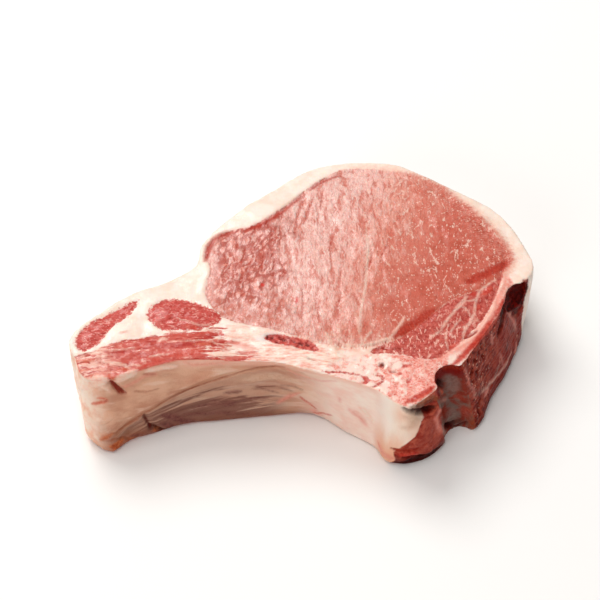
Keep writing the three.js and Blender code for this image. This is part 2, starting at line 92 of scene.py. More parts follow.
# Lines on the chop by stain or painted shade: half width and points
STAINS_AND_SHADES = {
    "red": [
        (0.4, [(-20.8, -27.7, 30.3), (-17.6, -27.8, 30.2), (-14.5, -28, 30.2)]),
        (0.33, [(-0.7, -31, 10.5), (2.6, -31.4, 7.3), (4.8, -32.1, 4.9)]),
        (0.43, [(-41.5, -20.4, 30.5), (-38.3, -20.8, 30.5), (-35.8, -19.6, 30.6)]),
        (0.69, [(-48.1, -30.9, 30.6), (-45.1, -30.7, 30.7), (-42.3, -31.4, 30.6)]),
        (0.41, [(-44.3, -32, 30.5), (-47, -32.7, 30.2), (-50.4, -33.4, 30.1)]),
        (0.69, [(-42.4, -29.8, 31), (-38.3, -29.4, 31.3), (-34.3, -27.9, 31.4), (-30.5, -27.7, 31.3)]),
        (0.41, [(-42.4, -20, 30.6), (-39.3, -20.3, 30.5), (-37.2, -22, 30.7)]),
        (0.45, [(-34.5, -21.3, 30.5), (-31.4, -20.1, 30.4), (-27.4, -19.1, 30.1)]),
        (0.93, [(-37.3, -18, 30.9), (-33.5, -18.4, 30.7)]),
        (0.31, [(2.5, -31.2, 2.5), (4.8, -31.9, 3), (9.7, -34.8, 6)]),
        (0.54, [(67.1, 1.5, 30.2), (66.2, -3.1, 29.1), (64, -8.3, 29.8), (62.1, -13.7, 29.3),
            (59, -18.9, 29.1), (55.3, -23.5, 30.5), (52.2, -26.9, 30.4), (50.6, -29.9, 30.3)]),
        (0.84, [(58.1, -4.8, 30.5), (61.1, -2.1, 30.4)]),
        (0.84, [(55.2, -4.2, 30.8), (54.8, -5.4, 30.8)]),
        (0.71, [(56, -10.9, 30.3), (56.4, -9.1, 30.4)]),
        (0.63, [(46.2, -25.9, 30.2), (49.3, -24.2, 30.3)]),
        (0.61, [(-51.6, -33.8, 30.1), (-49.1, -33.1, 30.2), (-47, -32.4, 30.3), (-44.5, -31.6, 30.5)]),
        (0.54, [(-39.5, -30.4, 31), (-36.4, -29.8, 31.3), (-33.3, -28.9, 31.4), (-30.1, -28.4, 31.3)]),
        (0.43, [(-28.9, -26.4, 31.2), (-25.8, -26.7, 30.9), (-22.7, -27.2, 30.5)]),
    ],
    "rust": [
        (0.53, [(-34.3, -25.4, 31.3), (-30.6, -25.4, 31.2), (-26.9, -24.8, 30.1), (-22.4, -25.4, 30.4)]),
        (0.57, [(-69.9, -31, 30), (-67.5, -31.1, 30.2), (-65.1, -30.9, 30.4)]),
        (0.53, [(-66.7, -37.2, 29.8), (-63.8, -36.9, 30), (-61, -37.3, 30.1), (-58.8, -37, 30.2)]),
        (0.37, [(-57.8, -34.8, 30.1), (-55.1, -34.5, 30.1), (-53.7, -35.2, 30.1)]),
        (0.32, [(-57.8, -20.7, 30.7), (-55.4, -20.1, 30.7)]),
        (0.6, [(-66, -40.3, 20), (-63.2, -40.8, 21.4), (-61.2, -40.7, 22)]),
        (0.4, [(-64.4, -40.2, 22.9), (-62.4, -40.4, 23.3), (-60.9, -40.6, 22.4)]),
        (0.42, [(32, -47.1, 30), (34.3, -46.6, 30.1), (37.6, -44.5, 30.3), (40, -42.5, 30.5)]),
        (0.42, [(43.1, -35.9, 23.1), (44.4, -35.6, 18.5)]),
        (0.5, [(72.3, 1.4, 30.3), (73.4, 2.2, 27.6)]),
        (0.57, [(-66.7, -37.1, 29.8), (-64.9, -36, 29.9), (-62.7, -35.9, 30), (-60.5, -36.5, 30.1)]),
        (0.47, [(-60.5, -36.5, 30.1), (-59.2, -37.3, 30.1), (-58.6, -37.9, 29.4)]),
        (0.39, [(-58.1, -35, 30.1), (-55.6, -34.4, 30.1), (-53.8, -33.8, 30.1)]),
        (0.54, [(-70.9, -30.7, 29.9), (-68.6, -31.1, 30.1), (-65.8, -30.8, 30.3)]),
        (0.36, [(-69.4, -34.7, 29.8), (-66.3, -34.2, 29.9), (-63.1, -34.5, 30)]),
    ],
    "blood": [
        (0.77, [(-59.5, -38.2, 29.3), (-58.5, -38.5, 26.6), (-57.1, -38.7, 24.2), (-55.5, -38.7, 23.1)]),
        (0.45, [(-42.1, -14.9, 31.1), (-41.2, -14.6, 31.1)]),
        (0.28, [(-61.7, -40.7, 22.2), (-61.1, -40.7, 22.2)]),
        (0.32, [(22.2, -26.3, 29.8), (23.3, -26.3, 30.1), (25.2, -26, 30.2), (26.3, -26.3, 30.2),
            (27.1, -26.4, 30.2)]),
        (0.26, [(28.5, -26.5, 30.3), (29.8, -26.4, 30.3), (31.4, -26.5, 30.3)]),
        (1.13, [(24.5, -32.7, 29.9), (25.2, -32.4, 30)]),
        (0.29, [(27.4, -35.1, 30), (29.4, -35.2, 30.1)]),
        (0.23, [(39.1, -32.2, 30.4), (39.2, -32.6, 30.5)]),
        (0.71, [(28.3, -49.3, 8.2), (30.8, -50.2, 8.3), (34, -50.2, 8.3), (36.2, -49.6, 8.7)]),
        (0.42, [(37.4, -47.8, 20.7), (39, -46.6, 21.4), (41, -45.2, 19.9)]),
        (0.81, [(43.9, -33.6, 29.5), (46.7, -32.8, 29.3), (49.9, -33.2, 28.5)]),
        (0.63, [(51.2, -22.1, 30.4), (53.7, -20.9, 30.5), (55.5, -19.5, 30.4)]),
        (1.25, [(71.7, 0.9, 30.3), (72.8, 1.9, 22.1)]),
    ],
    "white": [
        (0.1, [(68.8, -9.7, 6.2), (66.6, -14.5, 6.6), (64.2, -19.1, 7), (61.1, -23.8, 8.6),
            (57.9, -29.2, 10.9)]),
        (0.7, [(-48.8, -34.2, 29.1), (-44.5, -33, 29), (-39.5, -32.2, 28.9)]),
        (0.6, [(-67.4, -37.4, 29.3), (-65.1, -38.3, 29.4), (-63.6, -38.8, 28.5)]),
        (0.5, [(-59.3, -38.3, 28.4), (-57.1, -37.6, 28.5), (-55, -36.8, 28.4)]),
        (0.2, [(53.2, -5.8, 31), (50.8, -8.4, 31.2), (48.7, -11.3, 31.2)]),
        (0.23, [(-24.4, -21.8, 30.2), (-20.9, -21.7, 30.1), (-17.7, -21.3, 30.2)]),
        (0.21, [(-30.6, -23.8, 30.9), (-27.1, -24.6, 30.8), (-23.9, -25.6, 30.6)]),
        (0.18, [(-66.6, -28.2, 30.4), (-60.2, -27.5, 30.7), (-55.4, -26.9, 30.7), (-52.4, -26.3, 30.8)]),
        (0.49, [(-62.7, -31.5, 30.4), (-58.9, -32.1, 30.4), (-55.5, -32.9, 30.2), (-53.8, -33.9, 30.1)]),
        (0.18, [(-64.5, -29.7, 30.6), (-61.4, -29.6, 30.7)]),
        (0.53, [(-45.3, -24, 30.8), (-44, -22.7, 30.6), (-42.6, -23.1, 30.8)]),
        (0.16, [(-42.6, -24.1, 30.9), (-37.1, -23.9, 31.1), (-31.7, -23.5, 30.9), (-24.2, -22.7, 30.4)]),
        (0.16, [(-47.8, -29.9, 30.7), (-43.7, -29.2, 31), (-41.7, -29.2, 31.1)]),
        (0.28, [(-50.1, -30.9, 30.5), (-49, -32.1, 30.3)]),
        (0.24, [(-53.8, -32.5, 30.3), (-50.4, -33.2, 30.1)]),
        (0.81, [(-29.1, -29.3, 31.3), (-26.1, -29.1, 31), (-21.1, -28.8, 30.3)]),
        (0.18, [(-39.8, -14.9, 31), (-36.4, -15.9, 31), (-33.2, -17.4, 30.8), (-29.5, -17.3, 30.5)]),
        (0.89, [(-57.3, -37.4, 29.8), (-55, -36.7, 29.1), (-52.1, -35.3, 29.3)]),
        (0.89, [(-65.4, -38.7, 27.4), (-62.7, -38.7, 29), (-60.5, -38.5, 29)]),
        (1.15, [(18.2, -39.3, 17), (20.8, -40.6, 14.9), (22.1, -41.7, 12)]),
        (0.23, [(-4, -25.1, 30.3), (-3.1, -25.3, 30.3), (-2.1, -26.7, 30.3)]),
        (0.17, [(-0.7, -24.9, 30.3), (-0.1, -24.8, 30.3)]),
        (0.19, [(35.3, -47.8, 24.4), (37.6, -46.8, 22), (37.1, -47.9, 20.9), (36.1, -48.6, 18.7)]),
        (0.38, [(65.4, 2.8, 30.4), (64.4, -0.8, 30.2), (62.1, -5.3, 29), (60.8, -10.6, 29.9),
            (58.4, -15.3, 30.2), (55.3, -20.4, 30.5), (52.3, -23.4, 30.4), (48.9, -25.8, 30.3)]),
        (0.29, [(50.4, -23.8, 30.4), (51.3, -19.9, 30.4), (53.2, -16.3, 30.4), (54.8, -12.7, 30.3),
            (55.3, -8.9, 30.6), (57, -3.4, 30.7), (61.2, 0.5, 30.3), (62.7, 1.2, 30.6)]),
        (0.36, [(43.5, -19.8, 30.3), (46.1, -15.4, 30.9), (49.1, -11.5, 31.1), (51.8, -8.7, 31),
            (52.4, -4.9, 30.7)]),
        (0.25, [(41, -21.5, 30.2), (43.5, -19.8, 30.3)]),
        (0.19, [(47.3, -22, 30.2), (47, -19.8, 30.3), (48.9, -16.8, 30.5), (50.4, -15.1, 30.6)]),
        (0.17, [(51.7, -10.3, 31), (53.7, -13.6, 30.3), (56.8, -15.5, 29.9)]),
        (0.19, [(45.9, -26.4, 30.2), (45.2, -21.5, 30.2)]),
        (0.17, [(51, -18.1, 30.4), (53.6, -15.8, 30.4), (56.1, -15.3, 30.3)]),
        (0.17, [(52.1, -8.3, 31), (54.3, -7.7, 30.8), (56.2, -6.6, 30.7)]),
        (0.39, [(32.4, -15, 31.3), (31, -17.8, 31.3), (29.7, -19.7, 31.2), (28.1, -22.2, 30.9)]),
        (0.54, [(28.1, -22.6, 30.8), (25.8, -23.3, 30.7), (23.6, -23.9, 30.5), (20.1, -24.8, 30.1),
            (17, -25, 29.9), (14.2, -24.4, 30)]),
        (0.36, [(9.1, -19.9, 31), (10.7, -22, 30.6), (12.3, -23.7, 30.2), (13.8, -25, 29.8)]),
        (0.29, [(17, -13.1, 31.9), (17.7, -17.9, 31.5), (18.3, -21.5, 31), (19.2, -24.5, 30.2)]),
        (0.29, [(21.8, -20.2, 31.3), (20.5, -22.2, 30.9), (19.5, -24.1, 30.3)]),
        (0.61, [(7.6, -20.6, 30.9), (8.8, -23.4, 30.3), (10, -27.3, 29.8), (11, -29.7, 29.8)]),
        (0.21, [(14.8, -19.7, 31.2), (15.4, -22.1, 30.7), (16.1, -24.1, 30.2)]),
        (0.21, [(24.6, -20.6, 31.3), (24, -22.2, 30.9), (23.6, -23.6, 30.6)]),
        (0.18, [(11.1, -17.4, 31.3), (11.7, -20, 31), (12.3, -22, 30.6)]),
        (0.9, [(-64.9, -37.1, 29.9), (-62.6, -37.6, 30), (-60.5, -38.3, 29.5)]),
        (0.82, [(-57.4, -37.3, 30.2), (-55.5, -36.7, 29.9), (-53.4, -35.7, 30.1), (-51.5, -34.9, 30.1)]),
        (0.72, [(-71.4, -30.3, 15.7), (-68.3, -37.7, 24.9), (-66.3, -38.8, 25.8)]),
        (0.43, [(-63, -39.1, 27.8), (-61.2, -39.2, 27), (-60.1, -39.4, 25.1)]),
    ],
    "rosy": [
        (0.6, [(68.8, -9.7, 6.2), (66.6, -14.5, 6.6), (64.2, -19.1, 7), (61.1, -23.8, 8.6),
            (57.9, -29.2, 10.9)]),
        (0.3, [(64, -16.6, 14.6), (65.1, -16.7, 8.8)]),
        (1.1, [(67.8, -4.3, 19.9), (69, -3.5, 16.1), (70, -3.4, 10.4)]),
        (0.9, [(70.6, -5.5, 5.2), (70.2, -7.6, 1.6)]),
        (0.9, [(60.1, -25.3, 9.3), (59, -28.6, 7.8)]),
        (0.6, [(60.4, -17.9, 26.2), (60.9, -18.6, 22.7)]),
        (0.99, [(-23.4, -23.5, 29.9), (-19.6, -24.9, 30.2), (-15.8, -26.1, 30.2)]),
        (0.83, [(15.2, -38, 13.3), (18.4, -39.6, 11.8), (20.3, -40.9, 9.6)]),
        (0.32, [(-56.2, -37.9, 25.6), (-53.2, -36.8, 26), (-49.1, -34.8, 27.7), (-46.1, -34.2, 27.4)]),
        (0.24, [(-36.9, -31.4, 30.1), (-34.2, -31.7, 29), (-30.1, -31.6, 29.3), (-23.3, -31.3, 29.9)]),
        (0.25, [(-5.3, -32, 27.9), (-1.8, -32.5, 25.1), (2.4, -33.6, 24.8), (6.2, -34.9, 24.9),
            (10.4, -36.8, 27.3)]),
        (0.15, [(-24.1, -30.7, 30.7), (-21.6, -30.4, 30.4), (-17.8, -29.3, 30.2), (-14.9, -29, 30.2)]),
        (0.69, [(-7.7, -31, 7.5), (-4.4, -30.8, 10.6), (-1.1, -31.1, 12.8)]),
        (0.76, [(3.1, -31.4, 4.1), (7.4, -31.7, 2.7)]),
        (0.23, [(11.9, -36.3, 17.5), (12.1, -36.3, 15.5)]),
        (0.23, [(17.1, -38.9, 13.9), (18.8, -39.7, 12.8)]),
        (0.13, [(8.1, -32.9, 30), (9.7, -32.2, 29.9), (11.3, -33, 29.8)]),
        (0.74, [(45.4, -35.3, 15.4), (43.2, -42.8, 19.7), (41.9, -44.6, 18.5), (43, -44.5, 12.7),
            (46.4, -38.4, 0.4)]),
        (1.13, [(24.4, -45.3, 5.2), (25.8, -48, 3.8), (28.7, -50, 3.9)]),
        (0.71, [(65.5, 3, 30.4), (64.8, -0.8, 30.2), (62.5, -6, 29.8), (61.3, -10.6, 29.9),
            (58.9, -15.3, 30.2), (55.8, -20.8, 30.5), (52.8, -23.9, 30.4), (49.2, -26, 30.3),
            (45.6, -28.6, 30.3), (42, -30.8, 30.4)]),
        (0.27, [(51, -32.2, 27.5), (53.1, -33, 19.7), (54.7, -32.3, 16.2), (54.8, -33.2, 13.9)]),
    ],
    "brown": [
        (0.14, [(-49.8, -34.8, 28.2), (-46.1, -34.2, 27.4)]),
        (0.12, [(-52.6, -37.9, 23.3), (-48.6, -37.4, 22.5), (-45.1, -36.2, 22.5)]),
        (0.31, [(-63.3, -44.9, 6.3), (-59.6, -44.6, 10.2), (-55.9, -42.5, 11.3), (-51.1, -40.3, 13.6),
            (-49, -39.5, 14.6), (-44.9, -37.2, 15.7), (-40.8, -34.8, 15.9), (-35.6, -33.4, 18),
            (-30.5, -32.2, 19.7), (-25.3, -31.6, 21.5), (-21.5, -31.3, 23.1)]),
        (0.15, [(-24.4, -31.5, 21.5), (-21.1, -31.4, 23.5), (-17.9, -31.3, 25.5), (-13.7, -31.2, 27),
            (-8.8, -31.5, 28), (-5.3, -32, 27.9)]),
        (0.49, [(-62.3, -45.2, 6.6), (-59.8, -45, 7.3), (-56.7, -42.4, 4.7), (-54.9, -40.9, 0.9)]),
        (0.23, [(1.4, -30, 30.2), (4.1, -30.9, 30.1)]),
        (0.97, [(35.9, -47.2, 29.2), (38.1, -45.7, 28.9), (40.6, -43.7, 28.2), (42.2, -41.9, 24.5)]),
        (0.42, [(-63.4, -44.9, 6), (-58.3, -44, 10.6), (-53.6, -41.3, 11.7), (-50.2, -39.6, 12.8),
            (-45.7, -37.7, 15.1), (-41.2, -35.2, 16.8)]),
        (0.42, [(-41.2, -35.2, 16.8), (-36.5, -33.7, 18.2), (-31.7, -32.5, 19.4), (-26.9, -31.9, 21.4),
            (-22.4, -31.4, 23.1)]),
        (0.36, [(-22.4, -31.4, 23.1), (-17.7, -31.2, 25.3), (-13.2, -31.1, 26.8), (-8.8, -31.5, 27.7),
            (-5.4, -32, 28)]),
    ],
    "dark": [
        (0.25, [(-10.1, -22, 30.4), (-9.2, -22.4, 30.4)]),
        (0.26, [(-6.7, -22.4, 30.5), (-5.7, -23.3, 30.5)]),
        (0.21, [(-1.6, -23.7, 30.5), (-1, -24.6, 30.3)]),
        (0.28, [(-50.1, -39.4, 12), (-49.7, -38.4, 7.9), (-49, -38.6, 5.2)]),
        (0.69, [(-11.1, -21.6, 30.1), (-10.9, -21.6, 30.2)]),
        (0.42, [(25.2, -31.9, 30), (25.4, -32.4, 30)]),
        (0.55, [(34.3, -48.3, 27.9), (36, -47.6, 26.6), (38.4, -44.7, 23.7), (41.2, -43.4, 22.5)]),
        (0.71, [(32, -50.6, 5), (35.3, -50.3, 4.5), (39.2, -48.8, 3.5)]),
        (0.65, [(42.4, -35.8, 26.9), (43.8, -35, 23.7)]),
        (0.45, [(46, -37.5, 4.5), (48.4, -36.2, 1), (50.4, -35.6, 0.7), (53, -35.8, 3.3)]),
        (1.88, [(71, 1.6, 26), (70, 1.2, 20.7)]),
        (1.05, [(66.3, -4.5, 26.2), (64.4, -9.3, 28.2), (63.6, -11.9, 27.5)]),
        (0.63, [(55.8, -25.1, 26.8), (56.1, -24.9, 26)]),
        (0.54, [(57.5, -23.6, 23.6), (57.4, -24.2, 22.6)]),
        (0.63, [(54.3, -27.8, 26.2), (54.7, -27.5, 25.3)]),
        (0.59, [(53.8, -29.7, 24.1), (53.3, -31.4, 22.3)]),
        (0.5, [(55.3, -28.6, 21.4), (55.7, -28.3, 20.4)]),
        (0.46, [(56.6, -23.4, 27.5), (56.8, -23.4, 26.8)]),
        (0.42, [(58.4, -21.2, 26.2), (58.2, -21.5, 26.1)]),
        (0.46, [(52.1, -29.9, 29.1), (52.3, -30, 28.1)]),
        (0.5, [(54.2, -31.3, 20), (54, -31.6, 19.8)]),
        (0.54, [(57.6, -30.8, 9.5), (56.4, -33.3, 9), (57.2, -34, 5)]),
        (0.29, [(-50, -39.4, 12.3), (-49.5, -38.3, 8.2), (-48.9, -38.5, 5.6)]),
        (0.61, [(-48.9, -38.5, 5.6), (-48.2, -38.6, 3.2)]),
        (0.36, [(-9.8, -21.4, 30.1), (-8.9, -22, 30.4)]),
        (0.39, [(-7.3, -21.7, 30.5), (-5.7, -22.8, 30.6), (-4.8, -23.3, 30.5)]),
        (0.32, [(-3.2, -23, 30.6), (-2.2, -23.9, 30.5)]),
        (0.32, [(-0.7, -23.9, 30.4), (0.3, -25.1, 30.2)]),
        (0.43, [(1.2, -24.4, 30.3), (2.3, -24.9, 30.2)]),
        (0.29, [(-1.9, -25.5, 30.3), (-1.3, -25.7, 30.2)]),
        (0.29, [(-8.2, -23.4, 30.4), (-7.3, -23.9, 30.4)]),
        (0.25, [(3.1, -25.6, 30.1), (3.6, -26.1, 30.1)]),
        (0.25, [(-4.4, -22, 30.6), (-3.8, -22.2, 30.6)]),
    ],
    "orange": [
        (1.43, [(-59.4, -45, 2.8), (-58.1, -43.9, 3.3)]),
        (1.69, [(-60.6, -45.4, 3.5), (-59.1, -44.7, 3.4), (-57.5, -43.3, 3.9)]),
        (0.73, [(-64, -44.7, 6.3), (-62.2, -45.1, 8.5), (-60.2, -44.8, 10.3)]),
        (0.58, [(-47.6, -38.4, 2.1), (-45.7, -37.7, 1.7)]),
    ],
    "purple": [
        (1.42, [(-44.6, -36.3, 8), (-41.3, -35.5, 5.6), (-38, -34.9, 2.8), (-34.9, -34.4, 1.9)]),
        (0.45, [(-35, -33.4, 8), (-30.8, -32.7, 8.7), (-25.6, -32.2, 8.6), (-21.6, -32, 7.3)]),
        (0.26, [(-29, -32.2, 10.4), (-21.5, -31.7, 9.1)]),
        (0.53, [(-24.1, -31.3, 13.2), (-21.4, -31.1, 13.7)]),
        (1.02, [(-45.1, -37.1, 4.8), (-41.5, -36, 1.4), (-44.3, -36.5, 0.3)]),
        (0.49, [(-37.8, -34.4, 5.8), (-30.9, -33.5, 5), (-21.6, -32.6, 4.4)]),
        (0.61, [(-54.7, -41.1, 3.3), (-51.7, -39.9, 2.2)]),
        (0.69, [(-24.6, -31.3, 13.3), (-19.7, -31, 13.5)]),
        (0.32, [(-20.1, -31.3, 11.2), (-16.5, -31.2, 10.2), (-11, -30.9, 9.9)]),
        (0.21, [(-14.5, -30.5, 15.8), (-11.6, -30.6, 14.2), (-7.7, -30.7, 12.6)]),
        (0.21, [(-7, -30.7, 15.4), (-3.4, -30.9, 14)]),
        (0.23, [(-6.3, -30.8, 16.7), (-2.4, -31.2, 16.7), (-0, -31.4, 14.6)]),
        (0.23, [(-19.8, -31.6, 9.1), (-14.9, -31.3, 8.2)]),
        (0.5, [(-24.7, -32, 9.3), (-21.1, -31.7, 8.8)]),
        (0.38, [(-24.8, -32.3, 7.5), (-22.8, -32.2, 7.3)]),
        (0.25, [(-24.8, -33, 3.9), (-17, -32.2, 3.1)]),
        (1.05, [(66.8, -11.5, 13.3), (66.7, -12.7, 11.3)]),
    ],
    "marrow": [
        (1.49, [(-11.1, -22.1, 30.3), (-7.6, -23, 30.4), (-3.7, -23.7, 30.5), (0.1, -24.5, 30.3),
            (3, -25.2, 30.1), (4.6, -26.3, 30)]),
        (0.4, [(6.2, -34.9, 30), (8.4, -35.5, 30), (11.9, -35.1, 29.9), (15.7, -35.9, 29.8),
            (18.9, -36.3, 29.8)]),
        (0.74, [(18.9, -36.8, 29.8), (20.5, -38.2, 29.8), (18.9, -39.5, 29.8)]),
        (0.35, [(23.1, -36.4, 29.8), (25, -36.7, 29.9), (25.3, -38.6, 29.8), (23, -40.6, 29.9),
            (21.7, -40.8, 29.8)]),
        (0.34, [(28.1, -37.6, 30), (28.5, -37.8, 30)]),
        (0.34, [(29.9, -36.3, 30.1), (31.2, -35.7, 30.2)]),
        (0.51, [(34.9, -29.2, 30.4), (35.9, -30.2, 30.4)]),
        (0.55, [(31.5, -33.3, 30.3), (32.6, -33, 30.4), (34.2, -32.7, 30.4)]),
        (0.72, [(32.7, -39.4, 30.2), (33.6, -38.5, 30.3)]),
        (1.86, [(-10.8, -22, 30.3), (-7, -22.7, 30.5), (-3.8, -23.5, 30.5), (-0.7, -24.2, 30.4),
            (2.2, -25.2, 30.1), (3.8, -26.3, 30.1)]),
    ],
    "grey": [
        (2.1, [(45.8, -33.4, 25.2), (48.1, -33.5, 21.6), (47.5, -34, 17.7)]),
        (1.77, [(47.6, -35, 10), (48.2, -35.8, 3.9)]),
        (0.31, [(71.3, -0.5, 16.9), (69.8, -3.8, 11.6), (67.9, -7.7, 14.4)]),
        (0.29, [(68.2, -11.6, 5.5), (65.2, -17.1, 6.9), (61.5, -23.3, 8), (58.1, -28.6, 11.1),
            (54.8, -33.1, 14.3)]),
        (0.75, [(63.8, -18.5, 10), (62.3, -21.7, 8.3)]),
    ],
    "tan": [
        (1.7, [(-17.8, -30.5, 19.2), (-12.7, -30.4, 20.7), (-7.6, -30.8, 21.4), (-1.9, -31.7, 20.3)]),
        (0.8, [(11, -25.2, 29.6), (10.9, -27.3, 29.8)]),
        (0.97, [(32, -48.8, 25.1), (34.5, -48.6, 24.3), (34.6, -49.1, 20.2), (31.4, -49.2, 19.6)]),
    ],
    "meat": [
        (2.42, [(39.6, -46.7, 18.7), (40.4, -46.9, 14.2), (39.5, -48, 9.7), (41.9, -46.8, 5.5)]),
        (1.94, [(37.1, -48.9, 12.4), (39, -48.6, 6.7), (42.4, -46.2, 6.9), (43.5, -44.8, 7.3)]),
        (1.13, [(48.7, -34.1, 15.8), (51.5, -34.8, 15)]),
        (1.94, [(52, -35.2, 10.7), (52.7, -35.6, 7.1)]),
        (1.25, [(62.8, -16.4, 20.5), (62.7, -18.8, 14.1)]),
    ],
    "cartilage": [
        (1.07, [(-14.6, -22, 30.3), (-13, -22.4, 30.3), (-11.4, -23, 30.3)]),
        (0.72, [(-12.7, -21.4, 30.3), (-9.5, -20.9, 30.4), (-6.3, -21.4, 30.5)]),
    ],
    "fold": [
        (0.34, [(0.5, 35, 31.2), (-1.3, 28.2, 31.4), (-2.6, 19.7, 31.8)]),
        (0.3, [(-5.6, 20.2, 31.9), (-5.1, 16.2, 31.9), (-5.3, 12.5, 31.9)]),
        (0.28, [(-9.9, 19.7, 31.8), (-9.4, 15.4, 31.8), (-9.1, 11.7, 31.7), (-8.8, 3.2, 31.5),
            (-10.6, -0.7, 31.4)]),
        (0.49, [(-13, 15.3, 31.6), (-12.8, 9.4, 31.4), (-13.1, 3.4, 31.4)]),
        (0.34, [(-15.4, 9.9, 31.4), (-17.5, 5.8, 31.3), (-19.2, 1.9, 31.3), (-20, -0.6, 31.3)]),
        (0.3, [(-22, 6.5, 31.2), (-22, 3, 31.2), (-21.5, -0, 31.2)]),
        (0.3, [(-18.4, 5, 31.3), (-17.1, 2.9, 31.3), (-15.6, 0.4, 31.4)]),
        (0.3, [(-18, 13, 31.3), (-19.1, 10, 31.3), (-20.1, 7.1, 31.2)]),
        (0.34, [(3.7, 35.4, 31.3), (2.1, 29.2, 31.3), (0.5, 24, 31.5)]),
        (0.3, [(6.8, 37.4, 31.3), (6, 30.2, 31.4)]),
        (0.25, [(9.8, 19.9, 31.6), (9, 12.6, 31.8), (9.7, 6.4, 32.1)]),
        (0.25, [(12.8, 5.6, 32.1), (11.9, -1.5, 32.3), (12.6, -7.2, 32.2)]),
        (0.28, [(22.1, 14.5, 31.9), (22.7, 8.7, 31.9), (20.3, 2.7, 31.9)]),
        (0.28, [(27.5, 14.5, 32), (25.8, 9.5, 32), (27.2, 4.7, 31.9)]),
        (0.25, [(5.1, -3.3, 32.1), (4.3, -8.8, 31.8), (5.4, -14.3, 31.4)]),
        (0.27, [(12.6, -6.3, 32.2), (11, -11.7, 31.9), (11.7, -16.2, 31.5)]),
        (0.25, [(-0.3, -3.1, 31.8), (0.5, -8.7, 31.6), (-0.3, -15.1, 31.3)]),
        (0.27, [(16.4, -5.3, 32.2), (17.5, -8.4, 32.1), (18.6, -10.9, 32)]),
        (0.28, [(-24.9, 10.2, 31.2), (-23.2, 5.2, 31.2), (-23.9, 0.4, 31.1)]),
        (0.28, [(-20.7, 16.1, 31.3), (-21.8, 11.1, 31.2), (-20.6, 6.2, 31.2)]),
    ],
    "vein": [
        (0.45, [(18.8, -24.8, 30.1), (18.5, -13.4, 31.9), (20.3, -3.2, 32), (21.5, 12.7, 31.9),
            (21, 23.1, 31.8)]),
    ],
    # a dark red band along the eye's rim: partly the lean's own red, partly painted shade in the crease where
    # the fat stands over it
    "wine_and_crease_shade": [
        (1.6, [(29.6, -21.8, 31), (32.6, -19.6, 31), (36.8, -15.7, 31.1), (41.7, -12, 31.3)]),
        (0.9, [(-31.4, 9, 30.7), (-30.6, 14.6, 30.8), (-28.7, 17.8, 30.6), (-26, 19.6, 30.8),
            (-22.1, 20.6, 31.3)]),
        (1, [(-18.2, 20.9, 31.5), (-15.7, 22, 31.7), (-12.4, 23.8, 31.9), (-9.2, 26.5, 31.7),
            (-5.9, 29.8, 31.5)]),
        (0.6, [(-5.9, 29.8, 31.5), (-2.7, 33.4, 31.2), (0.8, 37, 31.2)]),
        (0.6, [(2.6, 38.8, 31.2), (5.4, 41.6, 31), (8.6, 44, 30.8), (12.6, 45.6, 30.5)]),
        (1.7, [(53.4, -0.1, 31), (56.8, 2, 31), (60.7, 4.2, 30.9), (64.1, 6.4, 30.9), (66.6, 8.6, 30.8)]),
    ],
    "cleft": [
        (0.35, [(-49.9, -39.6, 13), (-48.8, -39.2, 8), (-47.6, -39, 5)]),
        (0.9, [(-48, -39.1, 6), (-46.6, -38.8, 3), (-44.6, -38, 0.6)]),
        (1.1, [(-46.4, -38.6, 1), (-42.6, -37.2, 0.4)]),
    ],
    # dark brown-red: partly the bone's own colour, partly painted shade under the backbone's upper rim and at
    # the canal's foot
    "umber_shade": [
        (1.7, [(34, -47.4, 29), (36.6, -46, 27.4), (39.4, -44, 26.4), (41.6, -42.4, 25.6)]),
        (1.2, [(46.6, -36, 3.6), (52, -36, 3)]),
    ],
    # painted shade: the notch under the backbone's upper rim, the gap beside the feather bone, and the foot
    # of the backbone and canal; the lines are also cut
    "pit_shade": [
        (1, [(31.4, -48.3, 28.7), (33.9, -48, 27.2), (36.7, -46.3, 24.4), (39, -45, 23.2),
            (41.6, -43.6, 22.8)]),
        (1.2, [(43, -37.6, 27.4), (43.6, -36.2, 25), (44.2, -35.4, 22)]),
        (1.6, [(66.4, -3.6, 28.6), (65.4, -6.2, 26.6), (64.4, -9, 26), (63.2, -12.4, 24.6),
            (62.4, -15, 22.4)]),
        (2, [(30.5, -49.6, 1.4), (36, -50.2, 1.6), (41, -48, 1.8), (44, -45.4, 2.2)]),
        (0.9, [(45.6, -37.2, 4.2), (47.4, -36.8, 2.6), (50, -36.2, 3.6)]),
    ],
    "scarlet": [
        (0.85, [(31.9, -46.9, 30), (33.8, -46, 30.1), (36.4, -44.6, 30.2), (39.2, -42.8, 30.4),
            (41, -41.2, 30.4)]),
        (0.8, [(42.4, -39.6, 29.8), (42.8, -40.2, 26), (43.4, -40.8, 22.6)]),
        (1.2, [(30.4, -49.6, 6.6), (33.4, -50.2, 6), (36.4, -49.8, 6.4)]),
        (0.95, [(46.8, -33.2, 30.2), (48.8, -31.1, 30.4), (53.2, -25.9, 30.4), (57.4, -20.1, 30.4),
            (61.3, -13.5, 30.4)]),
        (0.8, [(61.3, -13.5, 30.4), (64.7, -6.8, 30.2)]),
    ],
    "speck": [
        (0.6, [(-13.2, -1.3, 31.4), (-12.2, -2.1, 31.4)]),
        (0.45, [(-1.6, -6.8, 31.6), (-1.8, -9.2, 31.6)]),
    ],
}

# How deep each stain or painted-shade line is cut, in millimetres; one below 0 stands out
CUT_DEPTH = {"dark": 0.9, "blood": 0.45, "marrow": 0.3, "brown": 0.3, "white": -0.2, "wine_and_crease_shade": 0.08,
             "rosy": -0.1, "pit_shade": 0.8, "umber_shade": 0.3, "cleft": 0.5, "rust": -0.1, "fold": 0.3}

